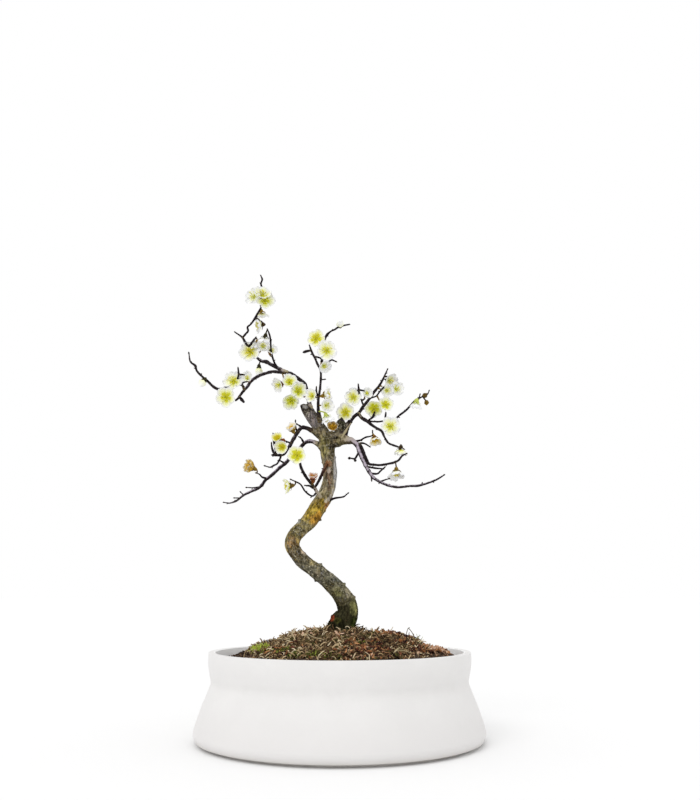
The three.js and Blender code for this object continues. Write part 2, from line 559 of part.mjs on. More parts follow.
function eggGeometry(diameter, sides) {
  const profile = [0, 0.3, 0.62, 0.85, 1].map((t) => {
    const width = Math.sin(Math.PI * t ** 0.85) * (diameter / 2) * 0.88;
    return new THREE.Vector2(t === 0 || t === 1 ? 0 : width, t * diameter * 1.15);
  });
  return new THREE.LatheGeometry(profile, sides).rotateX(Math.PI / 2);
}

function brownBudSolid([x, y, z, diameter, yaw, pitch], grow) {
  const place = new THREE.Vector3(x, y, z);
  const axis = heading(yaw, pitch);
  const egg = eggGeometry(diameter + 2 * grow, 6).applyMatrix4(standing(place, axis));
  const inside = place.clone().addScaledVector(axis, 0.3 * diameter);
  const route = [[...nearestWood(place), 0.8], [...inside, 0.8]];
  return solidFrom(egg).add(prism(route, 4, grow));
}

function woodSolid(grow = 0) {
  return largestPiece(joined([
    tube(TRUNK, TRUNK_TUBE, grow, gnarl),
    ...Object.values(LIMBS).map((route) => tube(route, LIMB_TUBE, grow)),
    ...Object.values(TWIGS).map((route) => tube(route, TWIG_TUBE, grow)),
    ...[...BLOOMS, ...WHITE_BUDS].map((bloom) => calyxSolid(bloom, grow)),
    ...BROWN_BUDS.map((bud) => brownBudSolid(bud, grow)),
  ]));
}

// ---------------------------------------------------------------- blossoms

// The petals of one blossom, which opens along +Z, as one closed body: they join at the heart,
// and both faces of each petal are fans of like triangles round its middle.
function corollaGeometry(radius, openness, random) {
  const { count, outline, notch, middle, thickness, cup, flatTilt, closedTilt } = PETAL;
  const vertices = [
    new THREE.Vector3(0, 0, HEART.height / 2), new THREE.Vector3(0, 0, -HEART.height / 2),
  ];
  const faces = [];
  const valley = (k) => 2 + (k % count) * (2 * outline.length + 4);
  for (let k = 0; k < count; k += 1) {
    const tilt = radians(THREE.MathUtils.lerp(closedTilt, flatTilt, openness) + between(random, -5, 5));
    const length = (radius / Math.max(0.7, Math.cos(tilt))) * between(random, 0.94, 1.05);
    const point = (share, degrees, lift = 0) => {
      const angle = ((k + 0.5) / count) * 2 * Math.PI + radians(degrees);
      const along = share * length;
      const out = along * Math.cos(tilt) - lift * Math.sin(tilt);
      const up = along * Math.sin(tilt) * share + cup * along * Math.abs(degrees / 30) + lift;
      return new THREE.Vector3(out * Math.cos(angle), out * Math.sin(angle), up);
    };
    const right = outline.map(([share, degrees]) => point(share, -degrees));
    const left = outline.map(([share, degrees]) => point(share, degrees)).reverse();
    const root = point(HEART.radius / length, -180 / count);
    root.z = 0;
    const first = vertices.length;
    vertices.push(root, ...right, point(notch, 0), ...left);
    vertices.push(point(middle, 0, thickness / 2), point(middle, 0, -thickness / 2));
    const ring = [...Array(2 * outline.length + 2).keys()].map((i) => first + i);
    ring.push(valley(k + 1));
    const [upper, lower] = [vertices.length - 2, vertices.length - 1];
    ring.forEach((a, i) => {
      if (i + 1 < ring.length) faces.push([upper, a, ring[i + 1]], [lower, ring[i + 1], a]);
    });
    faces.push([upper, valley(k + 1), 0], [upper, 0, first], [lower, 1, valley(k + 1)], [lower, first, 1]);
  }
  return indexed(vertices, faces);
}

function bloomSolid([x, y, z, diameter, yaw, pitch, openness], random) {
  const parts = [corollaGeometry(diameter / 2, openness, random)];
  for (let k = 0; k < STAMEN.count; k += 1) {
    const length = STAMEN.length * diameter * between(random, 0.8, 1.1);
    const stamen = new THREE.ConeGeometry(STAMEN.radius, length, 3).rotateX(Math.PI / 2);
    stamen.translate(0, 0, length / 2).rotateY(radians(STAMEN.lean * openness ** 2));
    stamen.translate(STAMEN.ring * openness, 0, 0);
    parts.push(stamen.rotateZ(((k + 0.5) / STAMEN.count) * 2 * Math.PI));
  }
  const place = standing(new THREE.Vector3(x, y, z), heading(yaw, pitch), random() * Math.PI);
  return joined(parts.map((geometry) => solidFrom(geometry.applyMatrix4(place))));
}

// Blossoms whose petals touch are gathered into one solid, so that no two nodes overlap.
function bloomClusters(clearance) {
  const random = seeded(23);
  const clusters = [];
  BLOOMS.forEach((bloom, i) => {
    const cut = largestPiece(bloomSolid(bloom, random).subtract(clearance));
    const touching = clusters.filter((c) => c.solid.intersect(cut).volume() > 0);
    const cluster = { solid: joined([cut, ...touching.map((c) => c.solid)]), first: i + 1 };
    for (const c of touching) {
      cluster.first = Math.min(cluster.first, c.first);
      clusters.splice(clusters.indexOf(c), 1);
    }
    clusters.push(cluster);
  });
  return clusters.sort((a, b) => a.first - b.first);
}

function whiteBudSolid([x, y, z, diameter, yaw, pitch]) {
  const egg = eggGeometry(diameter, 10).translate(0, 0, -HEART.height / 2);
  return solidFrom(egg.applyMatrix4(standing(new THREE.Vector3(x, y, z), heading(yaw, pitch))));
}

// ---------------------------------------------------------------- the scene graph

const bonsai = new THREE.Group();
bonsai.name = 'cherry_blossom_bonsai';

function addNode(name, solid, material) {
  const mesh = new THREE.Mesh(geometryFrom(solid), material);
  mesh.name = name;
  bonsai.add(mesh);
}

const clearance = woodSolid(GAP);
addNode('pot', potSolid(), CERAMIC);
addNode('drainage_mesh', drainageMeshSolid(), PLASTIC);
addNode('soil', soilSolid(), EARTH);
addNode('moss_cover', mossSolid(), MOSS);
addNode('tree_wood', woodSolid(), BARK);
for (const { solid, first } of bloomClusters(clearance)) {
  addNode(`bloom_${String(first).padStart(2, '0')}`, solid, PETAL_WHITE);
}
WHITE_BUDS.forEach((bud, i) => {
  addNode(`bud_${i + 1}`, whiteBudSolid(bud).subtract(clearance), PETAL_WHITE);
});

export default bonsai;
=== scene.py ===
"""A flowering bonsai in a round white pot: the finish of every piece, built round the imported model.

Lengths are millimetres until a mesh is made. The axes are the model's: +Z up, -Y the tree's front.
"""

import math
import random
from functools import lru_cache, reduce

import bpy
import numpy as np
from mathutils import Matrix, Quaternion, Vector, noise
from mathutils.kdtree import KDTree


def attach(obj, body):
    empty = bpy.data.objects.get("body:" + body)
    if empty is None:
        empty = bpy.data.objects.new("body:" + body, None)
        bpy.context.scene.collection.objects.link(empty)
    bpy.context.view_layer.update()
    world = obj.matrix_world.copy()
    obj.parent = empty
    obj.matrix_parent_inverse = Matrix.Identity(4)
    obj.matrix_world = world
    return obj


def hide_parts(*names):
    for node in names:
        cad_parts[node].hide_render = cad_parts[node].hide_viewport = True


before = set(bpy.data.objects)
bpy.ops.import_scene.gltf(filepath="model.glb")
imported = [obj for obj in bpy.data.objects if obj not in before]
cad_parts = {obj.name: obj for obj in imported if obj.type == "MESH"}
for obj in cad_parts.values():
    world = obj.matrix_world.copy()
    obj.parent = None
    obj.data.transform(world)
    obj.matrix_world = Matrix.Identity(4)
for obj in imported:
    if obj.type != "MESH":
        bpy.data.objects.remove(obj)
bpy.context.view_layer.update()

MM = 0.001
TURN = 2 * math.pi
GOLDEN_TURN = math.radians(137.5)

# ---------------------------------------------------------------- pot and mound

# Corners of the pot's section as [radius, height, rounding], from the rim down, under and back up.
POT_SECTION = [
    [131.6, 87, 0.9], [131.8, 75.7, 18], [130.1, 65.9, 8], [128.3, 57.7, 3], [132.6, 46.4, 22],
    [137.9, 33.4, 30], [142.7, 18.8, 18], [145, 9.5, 2.6], [142.5, 3, 0.9], [135, 3, 0.7],
    [135, 0, 0.7], [128, 0, 0.7], [128, 5, 0.7], [11, 5, 0.6], [11, 13, 0.6], [129.6, 13, 3],
    [121.3, 52.5, 10], [121.3, 61.5, 10], [124.5, 87, 0.9],
]
POT_SEGMENTS = 208
SOIL_BOTTOM = 13.6
SOIL_WALL = [[129.0, 14.6], [120.8, 52.5], [120.8, 61.5], [122.4, 73.5]]

# Heights of the mound's top at radii from the trunk out, to the left, to the right and to the front.
MOUND_LEFT = [
    [0, 14, 33, 38, 47, 57, 63, 71, 80, 90, 101, 110, 123.6],
    [109.5, 109.5, 108.5, 104.5, 104.5, 102.5, 98.5, 94, 93.5, 89.5, 86, 82, 77.5],
]
MOUND_RIGHT = [
    [0, 17, 22, 26, 41, 53, 62, 69, 80, 83, 91, 102, 115, 123.6],
    [109.5, 109.5, 106.5, 104.5, 104.5, 103.5, 103, 99.5, 96.5, 92.5, 91, 89, 83.5, 77.5],
]
MOUND_FRONT = [[0, 26, 54, 84, 104, 123.6], [109.5, 108, 102, 92.5, 85, 77.5]]
MOSS_THICKNESS = 4.0
MOSS_REACH = {"left": 95, "right": 88, "front": 101}

# ---------------------------------------------------------------- the tree's routes

# Each route is a list of [x, y, z, radius] from root to tip, as in the model.
TRUNK = [
    [2, 0, 84, 11], [2, 0, 98, 15], [2, 0, 110, 15], [4.5, 0, 117, 12.8], [8, 0, 125, 10.9],
    [7, -1, 133, 10.1], [3.2, -3, 141, 9.4], [-3.4, -5, 148.8, 8.9], [-11.8, -8, 157.3, 8.1],
    [-21.8, -10, 165, 7.8], [-33.9, -12, 174, 7.2], [-43.6, -14, 183.4, 6.8], [-48.4, -14, 193, 7.2],
    [-46.4, -13, 202, 7.6], [-39.8, -10, 209.2, 7.6], [-30.8, -6, 219, 8.1], [-23.8, -3, 231, 8.4],
    [-16.8, 0, 243, 8.1], [-11.7, 3, 259, 7.2], [-10.9, 5, 276, 7.2], [-13.5, 6, 289, 7.3],
    [-14, 6, 302, 8], [-19, 5, 313, 7], [-24.5, 3, 321, 6.2], [-30.5, 1, 329, 5.7],
    [-35.3, -1, 336, 5.3], [-38.3, -2, 342.5, 5],
]
ROOTS = [
    [
        [3.5, -1, 119, 7], [-4, -5, 112.5, 5.2], [-12, -9, 107.5, 3.6], [-19, -12, 103, 2.4],
        [-26, -14, 98.5, 1.4],
    ],
    [[4, -2, 117, 7], [7, -9, 110, 4.6], [11, -16, 105, 3], [16, -22, 100, 1.8]],
    [[4, 2, 118, 7], [-2, 10, 110.5, 5.2], [-8, 17, 106, 3.4], [-13, 24, 101, 2]],
    [[4, 1, 117, 7], [8, 7, 109, 4.6], [13, 12, 104, 3], [20, 15, 99, 1.8]],
]
LIMBS = {
    "right_main": [
        [-12, 5, 306.5, 6.2], [-4.5, 3, 304.5, 6], [0.5, 1, 305.5, 5.4], [7.5, -1, 304, 4.3],
        [13.5, -4, 302, 2.9], [18, -8, 296.5, 2.4], [20, -12, 289.5, 2.2], [23, -17, 281.5, 2.1],
        [29, -25, 268, 1.9], [33.5, -30, 260.5, 1.6], [37.5, -33, 257, 1.4], [48, -40, 251, 1.3],
        [57.5, -45, 248.5, 1.2], [69, -50, 249, 1.1], [76.5, -52, 249, 1.3], [83.5, -54, 250.5, 1],
        [94, -58, 254, 0.9], [98.5, -60, 256.5, 0.8], [101, -62, 258, 0.5],
    ],
    "stub": [[0, 4, 306, 4.6], [0, 3, 318, 4.3], [1, 2, 325, 3.7]],
    "right_back": [
        [-0.5, 6, 314, 3], [5, 10, 321, 2.4], [10.5, 14, 328, 2], [15.5, 17, 334, 1.9],
        [20, 19, 338, 1.8], [24.5, 22, 345.5, 1.7], [28.5, 25, 351, 1.6], [33, 28, 358, 1.6],
        [37.5, 31, 365, 1.5], [42, 34, 371, 1.4], [46, 37, 378.5, 1.2], [49.5, 40, 386.5, 0.9],
        [52, 42, 392.5, 0.6],
    ],
    "right_low": [
        [19, 18, 337, 1.9], [23, 16, 331.5, 1.9], [28.5, 13, 327.5, 1.8], [32.5, 11, 323.5, 1.6],
        [38, 8, 319, 1.4], [43.5, 5, 315, 1.4], [46.5, 2, 308, 1.1], [50.5, -1, 301, 1.1],
        [55, -3, 298.5, 1.1], [63, -6, 295, 0.9],
    ],
    "right_second": [
        [13.5, -4, 301.5, 2.2], [21, -4, 297.5, 1.8], [24.5, -6, 289.5, 1.6], [27.5, -8, 282, 1.5],
        [30, -9, 277.5, 1.4], [35, -10, 276.5, 1.2], [42, -11, 276, 1.2], [49.5, -13, 277, 1.2],
        [55.5, -15, 278, 1.2], [60, -17, 280, 1.1], [63.5, -20, 284, 1], [67.5, -21, 286, 0.7],
    ],
    "upper_left": [
        [-29, 3, 332, 2.8], [-34, 8, 349, 2.2], [-36, 11, 360, 2.1], [-39, 13, 369, 2],
        [-44, 13, 373, 2], [-52, 11, 378, 2.2], [-59, 10, 380, 2.3],
    ],
    "upper_left_back": [
        [-57.5, 10, 380, 2.3], [-65.5, 13, 384.5, 2.1], [-75.5, 17, 391, 1.9], [-81.5, 20, 395, 2.2],
        [-86, 22, 396, 1.7], [-92, 25, 401, 1.3], [-100, 29, 409, 1.2], [-104, 31, 417, 1.3],
        [-109, 33, 426, 1.1], [-118, 36, 433.5, 0.7],
    ],
    "forward_left": [
        [-57, 10, 380, 2], [-65, 5, 379, 1.7], [-72, -1, 378, 1.6], [-77, -7, 375, 1.6],
        [-84, -15, 370, 1.6], [-91, -25, 362, 1.6], [-95, -32, 353, 1.5], [-98, -36, 348, 1.4],
        [-102, -39, 341, 1.2],
    ],
    "far_left": [
        [-97, -35, 349, 1.3], [-99, -43, 353, 1.3], [-106, -53, 349, 1.4], [-112, -61, 345, 1.4],
        [-118, -67, 342, 1.4], [-122, -72, 343, 1.3], [-127, -79, 347, 1.2], [-131, -83, 350, 1.1],
        [-136, -88, 355, 1], [-137, -90, 359, 1.2], [-141, -93, 362, 0.8], [-142, -97, 369, 0.5],
    ],
    "front_left": [
        [-21.5, 3, 309.5, 3.2], [-29.5, -4, 313.5, 2.4], [-35, -8, 315.5, 2.1], [-39.5, -11, 315.5, 2],
        [-42.5, -13, 312.5, 2], [-45, -15, 308, 2], [-48.5, -18, 301, 1.9], [-51, -21, 295, 1.8],
        [-54, -25, 289.5, 1.5], [-57, -29, 284, 1.4], [-62.5, -33, 282.5, 1.3], [-67.5, -37, 282, 1.1],
    ],
    "low_left": [
        [-18, 7, 297, 3], [-24, 10, 302, 2.4], [-29, 13, 305, 2.2], [-34, 16, 306, 2.1],
        [-38, 19, 305, 2], [-45, 24, 299, 2], [-55, 30, 290, 2], [-60, 33, 285, 1.9],
        [-66, 36, 281, 1.9], [-77, 42, 272, 1.8], [-82, 45, 269, 1.8], [-89, 49, 261, 1.6],
        [-101, 54, 256, 1.4], [-108, 57, 253, 1.3], [-117, 62, 247, 1.1], [-125, 65, 245, 0.8],
        [-131, 67, 246, 0.5],
    ],
    "central": [
        [-21, 0, 319, 3], [-22, -4, 327, 2.5], [-23, -6, 335, 1.8], [-23, -7, 346, 1.4],
        [-22, -7, 353, 1.3], [-21, -6, 362, 1.2], [-21, -4, 379, 1.2], [-24, -3, 385, 1.3],
        [-26, -2, 390, 1.1], [-31, 0, 401, 1.2], [-33, 1, 407, 0.7],
    ],
    "trunk_front": [
        [-16, -3, 238, 2.2], [-21, -12, 244, 1.7], [-28, -20, 254, 1.6], [-34, -26, 261, 1.5],
        [-39, -32, 270, 1.4], [-40, -34, 274, 1.3], [-42, -36, 280, 1.2],
    ],
}
TWIGS = {
    "leader": [
        [-109, 32, 426, 1], [-105.5, 30, 429.5, 1.2], [-102.5, 28, 432.5, 1.1], [-103, 26, 436, 1.1],
        [-99, 23, 438.5, 0.9], [-94.5, 19, 443, 1.3], [-91, 16, 448, 1.2], [-87.5, 15, 454, 0.9],
        [-86.5, 16, 460, 0.8], [-85.5, 18, 469, 0.8], [-86.5, 18, 478, 1], [-88, 18, 483, 1],
        [-86.5, 17, 487.5, 1], [-88, 17, 491.5, 0.6],
    ],
    "leader_side": [[-104, 31, 416, 0.9], [-98, 28, 420, 0.8], [-94, 26, 424, 0.6]],
    "upper": [
        [-68, 14, 386, 1.2], [-71, 10, 390.5, 1.1], [-73, 5, 396, 1], [-74, 0, 402, 0.9],
        [-74, -5, 407.5, 0.9], [-74.5, -6, 413.5, 1], [-76, -6, 419, 0.9], [-77.5, -6, 422.5, 0.6],
    ],
    "far_left_spur": [
        [-101.5, -49, 351, 0.9], [-101, -60, 353, 0.8], [-98.5, -69, 356.5, 1], [-99, -70, 362, 0.8],
    ],
    "central_stub": [[-32, 0, 401.5, 1.1], [-35.5, -1, 400.5, 1.4], [-39, -2, 399, 1.4]],
    "central_hook": [
        [-27.5, -1, 394.5, 1], [-23.5, -3, 393, 1], [-20.5, -5, 391, 0.9], [-20, -6, 387, 0.5],
    ],
    "central_right": [
        [-21, -4, 380, 1.1], [-19, -1, 392, 1.1], [-20, 3, 403, 1.1], [-17.5, 5, 411.5, 1],
        [-16.5, 7, 417.5, 1.3], [-14, 9, 422.5, 1.4], [-10.5, 10, 426, 0.9], [-6, 11, 428.5, 0.9],
        [-3, 12, 431, 1.1], [3, 13, 433.5, 1], [9, 14, 435, 0.8],
    ],
    "central_spur": [
        [-20.5, -4, 378, 0.9], [-15, -1, 384, 0.9], [-10, 1, 391.5, 1.1], [-5, 2, 390, 0.6],
    ],
    "right_back_side": [
        [33.5, 27, 356.5, 1], [38.5, 20, 356.5, 0.8], [42, 13, 359.5, 1], [46, 10, 363.5, 1],
    ],
    "right_spur": [[25, 22, 346, 1], [23, 19, 351.5, 1], [25.5, 17, 352.5, 0.7]],
    "right_low_side": [
        [29.5, 13, 327.5, 1], [36, 9, 326, 0.9], [42, 4, 325, 0.9], [46.5, 0, 325.5, 1],
        [47.5, 0, 329.5, 1.1], [48, 1, 333.5, 0.9],
    ],
    "right_low_spur": [[29.5, 13, 328, 0.9], [34.5, 8, 331, 1.3], [36, 6, 335, 0.9]],
    "far_right": [
        [43, 5, 316, 1.2], [51, 8, 320, 1.2], [62, 14, 333, 1.1], [70, 19, 340, 1.1], [76, 23, 347, 1],
        [81, 26, 353, 1], [85, 28, 355, 0.9], [87, 31, 361, 0.6],
    ],
    "far_right_tip": [[84, 28, 355, 0.9], [91, 29, 359, 0.9], [95, 30, 361, 0.8], [97, 31, 365, 0.5]],
    "right_high": [
        [13, -3, 302, 1.3], [21, -1, 304, 1], [26, 0, 307, 0.9], [34, 2, 310, 0.7], [34, 2, 314, 0.5],
    ],
    "right_thorn": [[20, -4, 300.5, 1], [25, -4, 300, 0.9], [30.5, -3, 297, 0.7]],
    "right_fork_a": [[27.5, -23, 272.5, 1.1], [35.5, -26, 270.5, 1], [43.5, -28, 269.5, 0.7]],
    "right_fork_b": [
        [31, -27, 265, 1.1], [38, -28, 264.5, 1], [41, -29, 267, 0.9], [45, -30, 270.5, 0.7],
    ],
    "right_fork_c": [[40, -35, 255, 1], [45, -36, 257, 0.8], [49, -37, 258, 0.5]],
    "right_bud_spur": [
        [19.5, -12, 290, 1.1], [17.5, -14, 285.5, 1.1], [15, -15, 282, 1], [11.5, -17, 282, 0.8],
    ],
    "front_left_stub": [[-39.5, -11, 315, 1.4], [-42, -12, 317, 1], [-44.5, -13, 318.5, 0.6]],
    "front_left_spur": [[-50, -21, 297, 1.1], [-54, -24, 298, 0.9], [-57, -26, 299, 0.7]],
    "front_left_a": [
        [-64, -34, 282.5, 1.1], [-66.5, -36, 285, 1.3], [-68, -38, 289, 1.1], [-68.5, -39, 293.5, 0.7],
    ],
    "front_left_b": [
        [-63.5, -34, 282.5, 0.9], [-65.5, -33, 290, 0.9], [-66.5, -33, 297, 1.4], [-67.5, -33, 304, 1],
    ],
    "front_left_c": [
        [-59, -31, 283, 1.1], [-61, -34, 277, 1], [-63, -37, 273, 0.9], [-66, -39, 271, 0.9],
        [-69, -41, 269, 0.8], [-74, -43, 270, 0.5],
    ],
    "low_left_link": [[-39, 19, 304, 1.2], [-42, 15, 309, 0.9], [-44, 12, 310, 0.6]],
    "low_left_stub": [[-61, 33, 285, 1.3], [-65, 30, 287, 0.8]],
    "low_left_a": [[-81, 44, 270, 1.2], [-86, 42, 271, 1], [-89, 40, 274, 0.8], [-92, 39, 275, 0.5]],
    "low_left_b": [[-90, 50, 261, 1], [-96, 47, 260, 0.7], [-103, 45, 260, 0.5]],
    "low_left_c": [[-108, 57, 253, 0.9], [-111, 56, 256, 0.5]],
    "low_left_d": [[-112, 59, 250, 0.8], [-118, 58, 250, 0.5]],
    "trunk_front_dark": [
        [-14, -1, 278.5, 1.7], [-17.5, -6, 270.5, 1.6], [-21, -12, 261, 1.5], [-25.5, -17, 252, 1.2],
    ],
    "trunk_front_thorn": [[-27.5, -18, 251, 1.1], [-31, -21, 253, 1], [-35, -24, 253, 0.6]],
    "trunk_front_low": [
        [-24, -15, 247, 1], [-28, -17, 243, 0.9], [-35, -21, 247, 0.9], [-40, -26, 254, 0.8],
        [-49, -31, 258, 0.6],
    ],
    "stub_ridge": [[1, -4.5, 305.5, 1.4], [4.5, -4, 311, 1.4], [8, -3, 317, 1.1], [11.8, -2, 322.5, 0.5]],
    "stub_flank": [[3.5, 1, 303, 3.4], [5.2, 0.5, 310, 2.7], [7, 0, 315.5, 1.9], [10, -0.5, 320.5, 0.9]],
    "trunk_right": [[-12, -2, 240, 1.4], [-5, -8, 242, 1.1], [4, -13, 243, 0.8], [8, -15, 246, 0.5]],
    "leader_fork": [
        [-108.5, 32, 425, 1.2], [-105, 22, 418, 1.2], [-101.5, 15, 412, 1.2], [-99, 12.5, 410.5, 1.3],
        [-96, 13, 414.5, 1.2], [-94, 15, 418.5, 1.1], [-92.5, 18, 421, 0.9],
    ],
    "far_left_bar": [[-98.5, -69, 356.5, 1], [-93.5, -71, 355.5, 0.7]],
    "far_left_hook": [[-99, -43, 353, 1], [-97, -45, 354.5, 0.9], [-94, -46, 355, 0.6]],
    "forward_left_end": [[-101.5, -39, 341.5, 1.3], [-99, -41, 338, 1.6], [-96.5, -43, 335, 1.3]],
    "forward_left_tip": [[-102, -39, 340.5, 1.1], [-104.5, -42, 337, 1.1]],
    "central_thorn": [[-23, -7, 348.5, 1.1], [-25, -10, 353.5, 1.1], [-25, -11, 358, 0.7]],
    "central_nub": [[-21, -5, 368, 0.8], [-16.5, -7, 368, 0.5]],
    "right_spur_tip": [
        [23, 19, 351, 0.8], [20.5, 10, 354, 0.8], [19.5, 2, 359, 1.3], [19, 1, 364, 0.8],
    ],
    "right_spur_bar": [[19.5, 2, 359, 1.2], [24.5, 0, 357.5, 0.8]],
    "right_back_thorn": [[48.5, 39, 383.5, 1.1], [53.5, 36, 382.5, 0.8]],
    "right_low_thorn": [[20.5, 18, 336.5, 1.4], [16, 12, 333, 1]],
    "right_main_thorn": [[32, -28, 262, 1.2], [32, -30, 257.5, 0.6]],
    "front_left_thorn": [[-44, -16, 309.5, 1.1], [-46, -18, 314.5, 1.1], [-46, -19, 320.5, 0.7]],
}
# How far along each limb its bark stays like the trunk's, where that differs from most.
OLD_WOOD = {
    "right_main": 26, "trunk_front": 34, "trunk_front_dark": 24, "front_left": 16, "stub": 1,
    "stub_ridge": 60,
}
OLD_LIMB, OLD_TWIG = 11, 2
# How strong the painted light on the lit side of each limb is, and which wood is rust brown by its root.
LIT_SHARE = {
    "right_main": 1, "low_left": 1, "upper_left": 0.8, "forward_left": 0.7, "upper_left_back": 0.7,
    "front_left": 0.6, "trunk_front": 0.9, "stub": -1, "stub_ridge": 1, "stub_flank": 0.2,
}
PLAIN_LIT_SHARE = 0.25
PALE_ROOTS = {"trunk_front": 0.75, "stub_ridge": 0.3}
RUSTY = {"trunk_front_dark": 1.0, "front_left": 0.4}
# How far along each limb its swollen root, which is one with the trunk, reaches.
COLLARS = {
    "right_main": 34, "stub": 26, "right_back": 14, "upper_left": 15, "front_left": 14,
    "low_left": 15, "central": 12, "trunk_front": 11,
}

# Each blossom is [x, y, z, diameter, yaw, pitch, openness], as in the model.
BLOOMS = [
    [-86, 13, 468, 20, 10, 30, 0.8], [-83, 14, 462, 22, 12, 5, 1], [-95, 17, 467, 20, -25, 5, 0.9],
    [-88, 27, 452.5, 17, 170, -60, 0.8], [-88, 24, 438, 20, -75, -10, 0.9],
    [-81, 4, 417, 15, -150, -65, 0.6], [-91.5, 22, 415.5, 17, 180, -75, 0.7],
    [-99, 21, 406, 24, -8, 0, 1], [-85, 18, 411, 15, 15, 10, 0.7], [-74.5, 4, 401.5, 13, 25, 25, 0.5],
    [-104, -62, 351, 21, -12, 12, 1], [-110, -68, 334, 20, -12, -17, 1],
    [-94, -34, 361, 13, -15, 15, 0.5], [-64, 0, 364, 17, -50, -20, 0.7], [-54, -1, 366, 17, 5, 15, 0.7],
    [-45, 0, 357, 19, 20, 0, 0.9], [-52, 0, 347, 19, -8, -40, 0.8], [-29, -10, 349, 15, -30, 0, 0.7],
    [-26, 2, 415, 20, -10, 5, 1], [-15, -6, 399, 23, 10, 0, 1], [-18, -10, 382, 14, 35, -30, 0.5],
    [-16, -10, 350, 17, 75, 10, 0.7], [-15, -15, 338, 15, 30, -15, 0.7],
    [-14, -14, 326, 15, 120, -65, 0.7], [14, 9, 352, 21, -15, 5, 1], [6, 6, 335, 21, -15, 0, 1],
    [28, 12, 357, 12, 15, 5, 0.5], [36, 9, 341, 19, -10, -25, 0.8], [48, 12, 344.5, 17, 10, 15, 0.8],
    [53, 31, 377, 18, 40, -25, 0.7], [50, 20, 363, 15, 10, -15, 0.7], [60, 24, 365, 17, 20, 0, 0.7],
    [52, -3, 318, 22, 10, 0, 1], [82, 17, 348, 13, -150, -70, 0.5], [36, -4, 305, 13, 15, -60, 0.5],
    [63, -10, 292.5, 15, 180, -80, 0.6], [57.5, -20, 268, 18, 0, -80, 0.6],
    [-8, -8, 316, 12, 0, 15, 0.6], [-49, -21, 311.5, 12, -30, 45, 0.5],
    [-62.5, -37, 298.5, 11, -10, 20, 0.5], [-57.5, -36, 290.5, 14, -15, -15, 0.5],
    [-42, -45, 280, 19, -5, 5, 0.9], [-95, 32, 279.5, 15, -60, 20, 0.35],
    [-50, -36, 251, 16, -75, -10, 0.7], [-27, -28, 259.5, 10, 0, 65, 0.5],
]
# How warm the heart of some blossoms is, and how far its colour spreads over the petals or shrinks,
# by their place in the list above.
HEARTS = {
    0: [0.1, 0.15], 1: [0.1, 0.15], 2: [0, -0.3], 5: [0, -0.35], 6: [0, -0.35], 7: [0.3, 0.05],
    8: [0, -0.35], 9: [0, -0.35], 11: [0.15, 0.2], 12: [0, -0.35], 13: [0, -0.25], 14: [0.1, 0.15],
    15: [0, 0.15], 16: [0, 0.22], 18: [0.25, 0.3], 20: [0, -0.3], 22: [0, -0.35], 23: [0, -0.35],
    25: [0.25, 0.15], 26: [0, -0.3], 27: [0.1, 0.3], 28: [0.1, 0.25], 29: [0.1, -0.25], 30: [0, -0.3],
    31: [0, -0.35], 33: [0, -0.4], 34: [0.7, 0.3], 35: [0.3, 0.3], 36: [0.3, -0.15], 37: [0.875, 0.5],
    38: [0.8, 0.25], 39: [0.45, 0.5], 40: [0.3, 0.25], 41: [0.2, 0.35], 42: [0.86, 0.7],
    43: [0.2, 0.45], 44: [1.0, 0.45],
}
PLAIN_HEART = [0.15, 0.0]
# The calyx's tone: below 0 lime, 0 dark olive, 0.25 dark brown, 0.5 golden, 0.75 red-brown and 1 red.
CALYXES = {
    3: 0.48, 4: 0.22, 5: 0.05, 6: 0.5, 21: 0.5, 23: -0.2, 29: 0.05, 33: -0.2, 35: 0.2, 36: 0.42,
    38: 0.45, 42: 0.5, 43: 0.35, 44: 0.75,
}
PLAIN_CALYX = 0.66
BUD_CALYX = 0.06
WHITE_BUDS = [
    [-89, 21, 388, 9, 0, -80], [-130, -83, 346, 8, -30, -50], [-0.5, 8, 432, 9, 0, 10],
]
# Brown buds end with how red they are.
BROWN_BUDS = [
    [90, 30, 357.5, 6, 55, 38, 0.3], [93.5, 26, 353.5, 5.5, 0, -80, 0.35],
    [-56, -27, 297.5, 5, -50, 20, 0.9], [11, -17, 282, 3.2, -60, 0, 0],
    [15.5, -14.5, 281.5, 3.2, 0, -60, 0],
]
HEART_DEPTH = 0.65  # from a blossom's middle back to where its petals join
PETALS = {
    "count": 5, "flat_tilt": 16, "closed_tilt": 62, "tilt_stray": 5, "cup": 0.16, "half_width": 0.445,
    "length": (0.94, 0.11), "least_cosine": 0.7, "thickness": 0.3, "net": (11, 11),
}

# ---------------------------------------------------------------- curves, skins and meshes

FIRST_SIDE = (0.31, 0.9, 0.3)  # a direction that no route starts in, to measure its turns from
EGG_ENDS, EGG_BELLY = (0.04, 0.97), 0.85  # the shares at which a bud starts and ends, and its fullness
BLADE_THINNING = 0.6  # how much thinner a leaf is at its edge


def unit(vector):
    return vector / np.linalg.norm(vector, axis=-1, keepdims=True)


def ease(values, low, high):
    """0 below low and 1 above high, with a smooth rise between them."""
    share = np.clip((values - low) / (high - low), 0, 1)
    return share * share * (3 - 2 * share)


def heading(yaw, pitch):
    """The direction that a yaw from the front towards +X and a pitch up point in."""
    a, b = math.radians(yaw), math.radians(pitch)
    return np.array((math.sin(a) * math.cos(b), -math.cos(a) * math.cos(b), math.sin(b)))


def standing(axis, spin=0.0):
    """The turn, as a matrix, that stands a shape's own +Z along an axis."""
    up = Vector((0, 0, 1))
    return np.array((up.rotation_difference(Vector(axis)) @ Quaternion(up, spin)).to_matrix())


